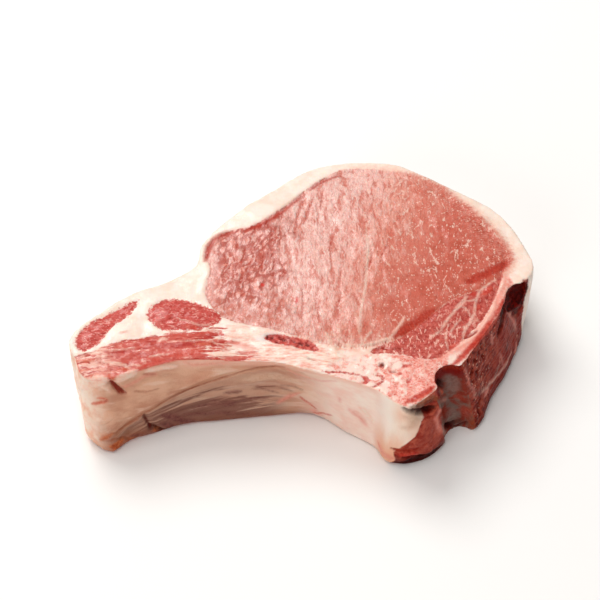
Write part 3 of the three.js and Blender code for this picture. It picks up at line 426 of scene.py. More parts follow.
# Deep cuts: half width, depth and points
GASH = (0.95, 1.6, [(-61.2, -38.2, 29.4), (-58.4, -38.4, 26.6), (-55.0, -39.0, 22.9)])
CLEFT = (0.9, 2.0, [(-49.8, -39.6, 13.0), (-48.8, -39.2, 8.0), (-47.0, -38.9, 3.6), (-44.6, -38.0, 0.4)])

# The spinal canal's axis, and the pocket under the end of the back fat: centre and radii
CANAL = ((52.0, -41.4, -5.0), (45.8, -37.6, 36.0))
POCKET = ((70.6, -1.6, 24.0), (5.8, 5.2, 8.0))

# The right edge of the smooth disc on the backbone's front, by height
DISC_Z = (0.0, 3.0, 5.5, 7.0, 10.0, 13.0, 15.0, 18.5, 22.0, 26.0)
DISC_X = (27.0, 29.5, 29.0, 29.0, 31.0, 33.6, 35.4, 36.6, 37.6, 38.0)

# The height of the crease under the rib, along X
CREASE_X = (-66, -63, -56.4, -49.9, -41.0, -32.2, -23.6, -14.5, -8.1, -3.8, 5, 14)
CREASE_Z = (3.5, 5.5, 11.4, 14.8, 17.4, 20.7, 24.1, 26.6, 28.3, 28.6, 24.5, 22.4)


def ease(low, high, value):
    """0 at low and 1 at high, with soft ends; low may be the larger."""
    t = np.clip((np.asarray(value, float) - low) / (high - low), 0, 1)
    return t * t * (3 - 2 * t)


def scatter(corner, seed):
    """A number from 0 to 1 for each whole-numbered place."""
    spread = np.array([73856093, 19349663, 83492791], np.int64)[: corner.shape[1]]
    h = np.bitwise_xor.reduce(corner.astype(np.int64) * spread, axis=1) ^ (seed * 2654435761)
    h = (h ^ (h >> 13)) & 0x7FFFFFFF
    h = (h * 1274126177) & 0x7FFFFFFF
    h = (h ^ (h >> 16)) * 668265263 & 0x7FFFFFFF
    return h / 0x7FFFFFFF


def drift(places, seed=0):
    """Smooth noise from -1 to 1, one swing for each unit of length."""
    base = np.floor(places)
    part = places - base
    soft = part * part * (3 - 2 * part)
    total = np.zeros(len(places))
    axes = places.shape[1]
    for corner in np.ndindex(*([2] * axes)):
        weight = np.prod([soft[:, a] if corner[a] else 1 - soft[:, a] for a in range(axes)], axis=0)
        total += weight * scatter(base + np.array(corner), seed)
    return total * 2 - 1


def rough(places, octaves=3, seed=0):
    """Drift with finer drift on it."""
    return sum(drift(places * 2**k, seed + k) / 2**k for k in range(octaves)) / 1.6


def from_line(places, line):
    """Distance from a bent line, and the share of its length gone by."""
    line = np.array(line, float)
    lengths = np.linalg.norm(np.diff(line, axis=0), axis=1)
    gone = np.concatenate([[0], np.cumsum(lengths)])
    best = np.full(len(places), CLEAR)
    along = np.zeros(len(places))
    for k, (a, b) in enumerate(zip(line, line[1:])):
        t = np.clip(((places - a) @ (b - a)) / lengths[k] ** 2, 0, 1)
        away = np.linalg.norm(places - (a + t[:, None] * (b - a)), axis=1)
        near = away < best
        best = np.where(near, away, best)
        along = np.where(near, (gone[k] + t * lengths[k]) / gone[-1], along)
    return best, along


def within(places, lines):
    """How far inside the nearest line's width each place is: negative outside."""
    best = np.full(len(places), FAR_OUT)
    for half, line in lines:
        away, along = from_line(places, line)
        thin = LINE_END + LINE_GAIN * ease(0, LINE_TAPER, np.minimum(along, 1 - along))
        best = np.maximum(best, half * thin - away)
    return best


def mesh_arrays(mesh):
    co = np.empty(len(mesh.vertices) * 3)
    mesh.vertices.foreach_get("co", co)
    normals = np.empty(len(mesh.vertices) * 3)
    mesh.vertex_normals.foreach_get("vector", normals)
    return co.reshape(-1, 3) / MM + ORIGIN, normals.reshape(-1, 3)


def put_places(mesh, places):
    mesh.vertices.foreach_set("co", ((places - ORIGIN) * MM).astype(np.float32).ravel())
    mesh.update()


def node_geometry(name):
    """A CAD solid's vertices, each place once, and its triangles."""
    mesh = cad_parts[name].data
    co, _ = mesh_arrays(mesh)
    spots, which = np.unique(co.round(3), axis=0, return_inverse=True)
    which = which.ravel()
    faces = [tuple(which[v] for v in polygon.vertices) for polygon in mesh.polygons]
    return spots, [face for face in faces if len(set(face)) == len(face)]


def closed_skin():
    """The solids swelled until their seams close, and wrapped in one even mesh."""
    verts, faces = [], []
    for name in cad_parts:
        spots, own = node_geometry(name)
        outward = np.zeros_like(spots)
        for face in own:
            a, b, c = spots[face[0]], spots[face[1]], spots[face[2]]
            for v in face:
                outward[v] += np.cross(b - a, c - a)
        outward /= np.linalg.norm(outward, axis=1, keepdims=True) + 1e-12
        start = len(verts)
        verts.extend(map(tuple, (spots + outward * SEAM_FILL - ORIGIN) * MM))
        faces.extend(tuple(start + v for v in face) for face in own)
    mesh = bpy.data.meshes.new("swelled_solids")
    mesh.from_pydata(verts, [], faces)
    holder = bpy.data.objects.new("swelled_solids", mesh)
    bpy.context.scene.collection.objects.link(holder)
    wrap = holder.modifiers.new("wrap", "REMESH")
    wrap.mode = "VOXEL"
    wrap.voxel_size = SKIN_CELL * MM
    graph = bpy.context.evaluated_depsgraph_get()
    skin = bpy.data.meshes.new_from_object(holder.evaluated_get(graph))
    bpy.data.objects.remove(holder)
    skin.name = "pork_chop"
    return skin


def relax(places, edges, rounds):
    """Evens out the wrap's small steps."""
    count = np.bincount(edges.ravel(), minlength=len(places))
    for _ in range(rounds):
        for pull in RELAX_PULLS:
            total = np.empty_like(places)
            for axis in range(3):
                total[:, axis] = np.bincount(edges[:, 0], places[edges[:, 1], axis], len(places))
                total[:, axis] += np.bincount(edges[:, 1], places[edges[:, 0], axis], len(places))
            places = places + pull * (total / count[:, None] - places)
    return places


def tissue_depths(places):
    """For each tissue, how far inside it a place of the skin is, measured to its nearest neighbour."""
    away = {}
    for tissue, nodes in TISSUES.items():
        best = np.full(len(places), CLEAR)
        for node in nodes:
            spots, faces = node_geometry(node)
            tree = BVHTree.FromPolygons([tuple(p) for p in spots], faces)
            found = [tree.find_nearest(p, SEARCH_REACH)[3] or SEARCH_REACH for p in map(Vector, places)]
            best = np.minimum(best, found)
        away[tissue] = best
    depths = {}
    for tissue in TISSUES:
        others = np.min([away[other] for other in TISSUES if other != tissue], axis=0)
        depths[tissue] = others - away[tissue]
    return depths


def surface_zones(places, normals):
    """Where the cuts and the parts of the wall are, from 0 to 1."""
    x, y, z = places.T
    level = np.maximum(ease(*UPPER_CUT, z), ease(*LOWER_CUT, z))
    cut = ease(0.45, 0.8, np.abs(normals[:, 2])) * level
    wall = 1 - cut
    canal = ease(6.7, 6.0, from_line(places, CANAL)[0]) * ease(0.95, 0.75, np.abs(normals[:, 2]))
    inner = wall * ease(0.3, 0.6, -normals[:, 1]) * ease(26, 22, x)
    tail = wall * np.maximum(ease(-0.45, -0.75, normals[:, 0]) * ease(-54, -64, x), ease(-58, -70, x))
    front = wall * ease(22, 26, x) * ease(48.5, 46.5, x) * ease(0, 0.2, -normals[:, 1])
    bare = front * ease(-1.2, 1.2, x - np.interp(z, DISC_Z, DISC_X))
    split = wall * ease(46.5, 49, x) * ease(-0.1, 0.3, normals[:, 0]) * ease(74, 72, x) * ease(3.5, 0.5, y)
    pocket = ease(1.3, 0.95, np.linalg.norm((places - POCKET[0]) / np.array(POCKET[1]), axis=1)) * wall
    return {"cut": cut, "canal": canal, "inner": inner, "tail": tail, "front": front, "bare": bare,
            "split": split, "pocket": pocket}


def carve(places, zones, depth, stains_and_shades):
    """The relief in millimetres outwards."""
    x, y, z = places.T
    flat = places[:, :2]
    cut = zones["cut"]
    inside = {name: ease(-0.3, 0.5, depth[name]) for name in depth}

    # the eye: upright folds; the belly end's are shorter and deeper
    sway = np.stack([rough(flat / 8, 2, 11), rough(flat / 8, 2, 12)], 1)
    leaning = np.stack([x * 0.98 + y * 0.14, y], 1) + 1.8 * sway
    folds = rough(leaning / np.array([2.3, 9.0]), 3, 41)
    knots = rough(leaning / np.array([1.9, 3.6]), 2, 44)
    belly_end = ease(8, -14, x)
    relief = inside["eye"] * cut * ((0.16 + 0.12 * ease(50, 0, x)) * folds + 0.2 * belly_end * knots)
    relief += inside["eye"] * cut * 0.3 * rough(flat / 10, 2, 6)

    # the other lean
    strands = rough(np.stack([x * 0.97 + y * 0.25, y * 0.97 - x * 0.25], 1) / np.array([8, 1.3]), 3, 51)
    red_lean = np.maximum(inside["belly"], inside["rib_meat"])
    relief += red_lean * cut * (0.26 * strands + 0.2 * rough(flat / 1.7, 2, 53))
    relief += inside["marbled"] * cut * 0.3 * rough(flat / 2.0, 3, 52)

    # the fat stands a little over the lean beside it, in soft lumps
    edges = [np.exp(-(((depth[tissue] - 0.4) / 0.7) ** 2)) for tissue in ("eye", "belly", "marbled")]
    lean_edge = np.max(edges, axis=0)
    relief -= 0.16 * lean_edge * cut
    wall = 1 - cut
    relief += inside["fat"] * cut * (0.2 + 0.2 * rough(flat / 4, 3, 61))
    relief += inside["fat"] * wall * (0.35 * rough(places / 9, 2, 62) + 0.12 * rough(places / 1.8, 2, 63))

    # sawn bone
    relief += inside["backbone"] * cut * 0.24 * rough(flat / 2.2, 3, 74)
    saw_marks = np.sin(z * 3.4 + 2 * rough(places / 6, 2, 93))
    relief += zones["split"] * (0.4 * rough(places / 3, 3, 92) + 0.1 * saw_marks)

    relief += zones["canal"] * 0.25 * rough(places / 2.4, 2, 96)
    broken = zones["bare"] * rough(places / 2.2, 3, 98)
    relief += zones["front"] * (0.2 * rough(places / 4, 2, 97) + 0.35 * broken)
    relief -= zones["pocket"] * (1.3 + 0.4 * rough(places / 2, 2, 99))

    # the inner wall: long wrinkles below the rib, faint ones over it
    under = np.interp(x, CREASE_X, CREASE_Z) - z
    ribwise = np.stack([x - under * 0.25, under + 0.08 * x], 1)
    wrinkles = rough(ribwise / np.array([16, 1.7]), 3, 81)
    below = ease(-0.5, 2.5, under)
    relief += zones["inner"] * (0.06 + 0.16 * below) * wrinkles
    relief += zones["inner"] * 0.3 * np.exp(-(((under + 2.2) / 1.5) ** 2)) * ease(8, -6, x)
    relief += zones["tail"] * 0.35 * rough(places / np.array([3, 3, 1.6]), 3, 95)

    # stains and painted shade that are also cuts, ridges or pits
    wobble = places + 0.3 * np.stack([rough(places / 1.6, 2, seed) for seed in (15, 16, 17)], 1)
    for name, deep in CUT_DEPTH.items():
        relief -= deep * ease(-0.35, 0.35, stains_and_shades[name])
    for half, deep, line in (GASH, CLEFT):
        away, along = from_line(wobble, line)
        thin = ease(0, 0.3, np.minimum(along, 1 - along) + 0.08)
        relief -= deep * thin * np.exp(-((away / half) ** 2))
    return relief, under, strands


def add_attribute(mesh, name, values):
    layer = mesh.attributes.new(name, "FLOAT", "POINT")
    layer.data.foreach_set("value", values.astype(np.float32))


def chop_skin():
    mesh = closed_skin()
    edges = np.empty(len(mesh.edges) * 2, np.int32)
    mesh.edges.foreach_get("vertices", edges)
    places, _ = mesh_arrays(mesh)
    put_places(mesh, relax(places, edges.reshape(-1, 2), RELAX_ROUNDS))
    places, normals = mesh_arrays(mesh)
    places = places - normals * (SEAM_FILL - SKIN_LIFT)
    depth = tissue_depths(places)
    zones = surface_zones(places, normals)
    stains_and_shades = {name: within(places, lines) for name, lines in STAINS_AND_SHADES.items()}
    relief, under, strands = carve(places, zones, depth, stains_and_shades)
    resting = ease(2.5, 0.5, places[:, 2]) * (normals[:, 2] < -0.4)
    moved = places + normals * (relief * (1 - 0.9 * resting))[:, None]
    moved[:, 2] = np.maximum(moved[:, 2], 0)
    put_places(mesh, moved)
    for name, values in depth.items():
        add_attribute(mesh, "in_" + name, values)
    for name, values in zones.items():
        add_attribute(mesh, name, values)
    for name, values in stains_and_shades.items():
        add_attribute(mesh, "stain_" + name, values)
    add_attribute(mesh, "under_crease", under)
    add_attribute(mesh, "strands", strands)
    mesh.polygons.foreach_set("use_smooth", np.ones(len(mesh.polygons), bool))
    corners = np.empty(len(mesh.loops), np.int32)
    mesh.loops.foreach_get("vertex_index", corners)
    starts = np.empty(len(mesh.polygons), np.int32)
    mesh.polygons.foreach_get("loop_start", starts)
    on_wall = np.minimum.reduceat(zones["cut"][corners], starts) < 0.5
    mesh.polygons.foreach_set("material_index", on_wall.astype(np.int32))
    piece = bpy.data.objects.new("pork_chop", mesh)
    bpy.context.scene.collection.objects.link(piece)
    return piece


# Materials


def shade(red, green, blue):
    """A colour given as 0 to 255 in each channel, for a socket."""
    channels = (c / 255 for c in (red, green, blue))
    return tuple(c / 12.92 if c < 0.0404 else ((c + 0.055) / 1.055) ** 2.4 for c in channels) + (1,)


class Wiring:
    """Adds nodes to one tree. Values may be numbers or the outputs of other nodes."""

    def __init__(self, tree):
        self.tree = tree

    def fill(self, socket, value):
        if isinstance(value, bpy.types.NodeSocket):
            self.tree.links.new(value, socket)
        else:
            socket.default_value = value

    def node(self, kind, inputs=None, **settings):
        made = self.tree.nodes.new(kind)
        for key, value in settings.items():
            setattr(made, key, value)
        for key, value in (inputs or {}).items():
            self.fill(made.inputs[key], value)
        return made

    def math(self, kind, a, b=0.0):
        return self.node("ShaderNodeMath", {0: a, 1: b}, operation=kind).outputs[0]

    def times(self, *values):
        total = values[0]
        for value in values[1:]:
            total = self.math("MULTIPLY", total, value)
        return total

    def plus(self, *values):
        total = values[0]
        for value in values[1:]:
            total = self.math("ADD", total, value)
        return total

    def less(self, value):
        return self.math("SUBTRACT", 1.0, value)

    def swing(self, noise, *reach):
        """A noise, centred about 0, times its reach."""
        return self.times(self.math("SUBTRACT", noise, 0.5), *reach)

    def ease(self, low, high, value, start=0.0, end=1.0):
        inputs = {"Value": value, "From Min": low, "From Max": high, "To Min": start, "To Max": end}
        return self.node("ShaderNodeMapRange", inputs, interpolation_type="SMOOTHSTEP").outputs["Result"]

    def colour(self, share, under, over):
        mixer = self.node("ShaderNodeMix", data_type="RGBA", clamp_factor=True)
        for index, value in ((0, share), (6, under), (7, over)):
            self.fill(mixer.inputs[index], value)
        return mixer.outputs[2]

    def attribute(self, name):
        return self.node("ShaderNodeAttribute", attribute_name=name).outputs["Fac"]

    def stretched(self, position, scale, turn=(0, 0, 0)):
        inputs = {"Vector": position, "Scale": scale, "Rotation": turn}
        return self.node("ShaderNodeMapping", inputs).outputs[0]

    def noise(self, position, scale, detail=3.0, roughness=0.55, distortion=0.0):
        inputs = {"Vector": position, "Scale": scale, "Detail": detail, "Roughness": roughness,
                  "Distortion": distortion}
        return self.node("ShaderNodeTexNoise", inputs).outputs["Fac"]

    def vector(self, kind, inputs):
        return self.node("ShaderNodeVectorMath", inputs, operation=kind).outputs[0]

    def joined(self, x, y, z=0.0):
        return self.node("ShaderNodeCombineXYZ", {0: x, 1: y, 2: z}).outputs[0]

    def bent(self, position, fineness, reach):
        """The position pushed about by up to reach."""
        push = self.node("ShaderNodeTexNoise", {"Vector": position, "Scale": fineness, "Detail": 2.0})
        centred = self.vector("SUBTRACT", {0: push.outputs["Color"], 1: (0.5, 0.5, 0.5)})
        return self.vector("ADD", {0: position, 1: self.vector("SCALE", {0: centred, "Scale": reach})})


def new_group(name, inputs, outputs):
    """A shader node group with named sockets, its wiring, its inputs and its outputs."""
    group = bpy.data.node_groups.new(name, "ShaderNodeTree")
    kinds = {float: "NodeSocketFloat", tuple: "NodeSocketVector"}
    for label, value in inputs.items():
        socket = group.interface.new_socket(label, in_out="INPUT", socket_type=kinds[type(value)])
        socket.default_value = value
    for label in outputs:
        group.interface.new_socket(label, in_out="OUTPUT", socket_type="NodeSocketFloat")
    given = group.nodes.new("NodeGroupInput").outputs
    taken = group.nodes.new("NodeGroupOutput").inputs
    return group, Wiring(group), given, taken


def ragged_border():
    """A mask from a depth in millimetres, with an uneven border."""
    inputs = {"Depth": 0.0, "Position": (0.0, 0.0, 0.0), "Raggedness": 0.6, "Fineness": 0.6, "Softness": 0.3}
    group, w, given, taken = new_group("ragged_border", inputs, ["Mask"])
    wander = w.noise(given["Position"], given["Fineness"], 4.0, 0.6)
    wander = w.swing(wander, given["Raggedness"], 4.0)
    depth = w.plus(given["Depth"], wander)
    w.fill(taken["Mask"], w.ease(w.times(given["Softness"], -1.0), given["Softness"], depth))
    return group


def fat_flecks():
    """Short pale veins and flecks of fat in lean."""
    inputs = {"Position": (0.0, 0.0, 0.0), "Spacing": 3.0, "Thickness": 0.05, "Share": 0.5}
    group, w, given, taken = new_group("fat_flecks", inputs, ["Mask"])
    fineness = w.math("DIVIDE", 1.0, given["Spacing"])
    place = w.bent(given["Position"], w.times(fineness, 1.3), 2.4)
    texture = w.node("ShaderNodeTexVoronoi", {"Vector": place, "Scale": fineness}, feature="DISTANCE_TO_EDGE")
    line = w.ease(given["Thickness"], 0.0, texture.outputs["Distance"])
    kept = w.noise(given["Position"], w.times(fineness, 1.7), 3.0, 0.6)
    threshold = w.less(given["Share"])
    kept = w.ease(threshold, w.plus(threshold, 0.08), kept)
    w.fill(taken["Mask"], w.times(line, kept))
    return group


def moist_net():
    """The cracked net of cut lean: dark lines between cells, a tone for each cell with a painted highlight
    towards its middle, and a height.
    """
    inputs = {"Position": (0.0, 0.0, 0.0), "Width": 1.8, "Length": 3.6, "Line": 0.14, "Lean": 0.14}
    group, w, given, taken = new_group("moist_net", inputs, ["Lines", "Tone_And_Highlight", "Height"])
    place = w.bent(given["Position"], 0.3, 2.6)
    place = w.bent(place, 1.1, 0.45)
    axes = w.node("ShaderNodeSeparateXYZ", {0: place}).outputs
    cell_x = w.math("DIVIDE", w.plus(axes[0], w.times(axes[1], given["Lean"])), given["Width"])
    cell_y = w.math("DIVIDE", axes[1], given["Length"])
    cell_z = w.math("DIVIDE", axes[2], given["Length"])
    cell = {"Vector": w.joined(cell_x, cell_y, cell_z), "Scale": 1.0}
    edge = w.node("ShaderNodeTexVoronoi", cell, feature="DISTANCE_TO_EDGE").outputs["Distance"]
    kernel = w.node("ShaderNodeTexVoronoi", cell)
    lot = w.node("ShaderNodeSeparateColor", {0: kernel.outputs["Color"]}).outputs[0]
    patchy = w.noise(given["Position"], 0.55, 3.0, 0.6)
    width = w.times(given["Line"], w.ease(0.3, 0.62, patchy, 0.15, 1.5))
    lines = w.ease(width, w.times(width, 0.2), edge)
    w.fill(taken["Lines"], lines)
    # each cell's own tone, lightened towards its raised middle as a painted highlight
    w.fill(taken["Tone_And_Highlight"], w.plus(w.times(lot, 0.45), w.ease(0.0, 0.4, edge, 0.0, 0.55)))
    w.fill(taken["Height"], w.times(w.ease(0.0, 0.28, edge), w.ease(0.3, 0.62, patchy, 0.35, 1.0)))
    return group


def scattered_dots():
    """Round dots, only some of the cells having one."""
    inputs = {"Position": (0.0, 0.0, 0.0), "Spacing": 1.2, "Size": 0.35, "Share": 0.5}
    group, w, given, taken = new_group("scattered_dots", inputs, ["Mask"])
    fineness = w.math("DIVIDE", 1.0, given["Spacing"])
    texture = w.node("ShaderNodeTexVoronoi", {"Vector": given["Position"], "Scale": fineness})
    lot = w.node("ShaderNodeSeparateColor", {0: texture.outputs["Color"]}).outputs[0]
    chosen = w.math("LESS_THAN", lot, given["Share"])
    dot = w.ease(given["Size"], w.times(given["Size"], 0.4), texture.outputs["Distance"])
    w.fill(taken["Mask"], w.times(dot, chosen))
    return group


# the palest lean is partly the lean's own tone and partly painted sheen
PALE_LEAN_AND_SHEEN = shade(253, 212, 203)
ROSE_LEAN = shade(232, 156, 138)
DEEP_LEAN = shade(199, 99, 81)
# the fold lean is painted shade in the low places of the eye's folds and grain
FOLD_SHADE_LEAN = shade(204, 100, 82)
BROWN_LEAN = shade(176, 70, 56)
FLECK = shade(250, 216, 200)
FAT_WHITE = shade(248, 232, 221)
FAT_CREAM = shade(243, 217, 201)
FAT_PINK = shade(236, 182, 162)
BONE_PALE = shade(246, 216, 204)
BONE_ROSE = shade(220, 112, 98)
MEMBRANE = shade(222, 172, 144)
MEMBRANE_TAN = shade(194, 136, 110)
DUSK = shade(108, 60, 52)

# Each stain's or painted shade's two colours, softness, raggedness and strength, in the order in which they
# are laid
STAIN_AND_SHADE_LOOKS = {
    "rosy": (shade(236, 156, 140), shade(222, 128, 114), 1.1, 0.35, 0.75),
    "tan": (shade(222, 182, 156), shade(208, 162, 136), 1.6, 0.2, 0.75),
    "purple": (shade(102, 50, 48), shade(134, 80, 72), 0.9, 0.5, 0.85),
    # partly the bone's own dark brown-red, partly painted shade
    "umber_shade": (shade(84, 34, 24), shade(116, 58, 42), 0.9, 0.4, 0.9),
    "grey": (shade(122, 94, 86), shade(150, 120, 110), 1.1, 0.4, 0.68),
    "meat": (shade(150, 50, 36), shade(174, 78, 60), 1.1, 0.6, 0.85),
    "red": (shade(194, 58, 44), shade(212, 90, 74), 0.5, 0.5, 0.85),
    "rust": (shade(198, 84, 58), shade(216, 114, 90), 0.5, 0.4, 0.85),
    "orange": (shade(164, 66, 26), shade(204, 112, 64), 0.9, 0.3, 0.92),
    # partly the lean's own red, partly painted shade in the crease under the fat rim
    "wine_and_crease_shade": (shade(168, 36, 16), shade(190, 62, 42), 0.9, 0.45, 0.88),
    "fold": (shade(178, 64, 48), shade(198, 90, 72), 0.5, 0.5, 0.88),
    "cartilage": (shade(226, 216, 214), shade(240, 222, 216), 0.7, 0.3, 0.75),
    "marrow": (shade(170, 20, 14), shade(218, 96, 84), 0.35, 0.7, 0.94),
    "brown": (shade(146, 70, 42), shade(166, 92, 62), 0.55, 0.25, 0.85),
    "vein": (FLECK, FAT_CREAM, 0.35, 0.3, 0.6),
    "white": (FAT_CREAM, shade(246, 200, 180), 0.55, 0.45, 0.75),
    "scarlet": (shade(176, 36, 24), shade(204, 70, 52), 0.6, 0.5, 0.9),
    "blood": (shade(136, 24, 10), shade(162, 48, 28), 0.45, 0.35, 0.92),
    "dark": (shade(80, 3, 1), shade(108, 14, 8), 0.45, 0.25, 0.95),
    # near-black painted shade
    "pit_shade": (shade(44, 5, 3), shade(70, 12, 8), 0.9, 0.4, 0.97),
    "cleft": (shade(62, 20, 10), shade(96, 38, 22), 0.5, 0.3, 0.95),
    "speck": (shade(204, 28, 22), shade(212, 50, 40), 0.35, 0.2, 0.9),
}

# Stains and painted shades that only one of the two materials has
CUT_ONLY = {"fold", "marrow", "vein", "wine_and_crease_shade", "speck", "cartilage"}
WALL_ONLY = {"purple", "umber_shade", "meat", "orange", "cleft"}


class Moist:
    """What the material of the cuts and the material of the walls share."""

    def __init__(self, name, groups, left_out):
        self.material = bpy.data.materials.new(name)
        self.material.use_nodes = True
        self.material.node_tree.nodes.clear()
        self.w = w = Wiring(self.material.node_tree)
        self.groups = groups
        self.stain_and_shade_names = [stain for stain in STAIN_AND_SHADE_LOOKS if stain not in left_out]
        place = w.node("ShaderNodeTexCoord").outputs["Object"]
        self.mm = w.stretched(place, (1000, 1000, 1000))
        axes = w.node("ShaderNodeSeparateXYZ", {0: self.mm}).outputs
        self.x = w.plus(axes[0], float(ORIGIN[0]))
        self.y = w.plus(axes[1], float(ORIGIN[1]))
        self.z = axes[2]
        self.grain = w.noise(self.mm, 0.9, 4.0, 0.62, 0.3)
        self.broad = w.noise(self.mm, 0.12, 3.0, 0.55)

    def use(self, name, **inputs):
        return self.w.node("ShaderNodeGroup", inputs, node_tree=self.groups[name]).outputs

    def border(self, depth, raggedness, softness, fineness=0.6):
        return self.use("ragged_border", Depth=depth, Position=self.mm, Raggedness=raggedness,
                        Softness=softness, Fineness=fineness)["Mask"]

    def grained(self, stretch, turn=0.0, fineness=1.0, detail=4.0, roughness=0.6):
        """Noise stretched along the axes and turned about the upright one."""
        return self.w.noise(self.w.stretched(self.mm, stretch, (0, 0, turn)), fineness, detail, roughness)

    def dots(self, spacing, size, share, place=None):
        place = self.mm if place is None else place
        return self.use("scattered_dots", Position=place, Spacing=spacing, Size=size, Share=share)["Mask"]

    def tissue(self, name, raggedness, softness, fineness=0.6):
        return self.border(self.w.attribute("in_" + name), raggedness, softness, fineness)

    def stained_and_shaded(self, colour):
        w = self.w
        for name in self.stain_and_shade_names:
            first, second, softness, raggedness, strength = STAIN_AND_SHADE_LOOKS[name]
            mask = self.border(w.attribute("stain_" + name), raggedness * 0.5, softness, 1.1)
            tint = w.colour(w.ease(0.35, 0.65, self.grain), first, second)
            colour = w.colour(w.times(mask, strength), colour, tint)
        return colour

    def glazed(self, colour, height, wettest, gloss):
        """The stained colour, with its painted shade, under a wet film."""
        w = self.w
        body = self.stained_and_shaded(colour)
        lit = w.ease(0.02, 0.18, w.node("ShaderNodeRGBToBW", {0: body}).outputs[0], 0.12, 1.0)
        film = w.noise(self.mm, 0.4, 3.0, 0.5)
        lift = w.plus(height, w.times(w.noise(self.mm, 2.4, 3.0, 0.6), 0.4))
        bump = w.node("ShaderNodeBump", {"Strength": 1.0, "Distance": 0.0003, "Height": lift}).outputs[0]
        shader = w.node("ShaderNodeBsdfPrincipled", {
            "Base Color": body, "Roughness": w.ease(0.3, 0.7, film, 0.3, 0.48), "Normal": bump,
            "Subsurface Weight": 0.22, "Subsurface Radius": (1.0, 0.3, 0.2), "Subsurface Scale": 0.0012,
            "Specular IOR Level": gloss, "Coat Weight": w.times(lit, w.ease(0.35, 0.65, film, 0.05, wettest)),
            "Coat Roughness": 0.14, "IOR": 1.4})
        w.fill(w.node("ShaderNodeOutputMaterial").inputs[0], shader.outputs[0])
        return self.material


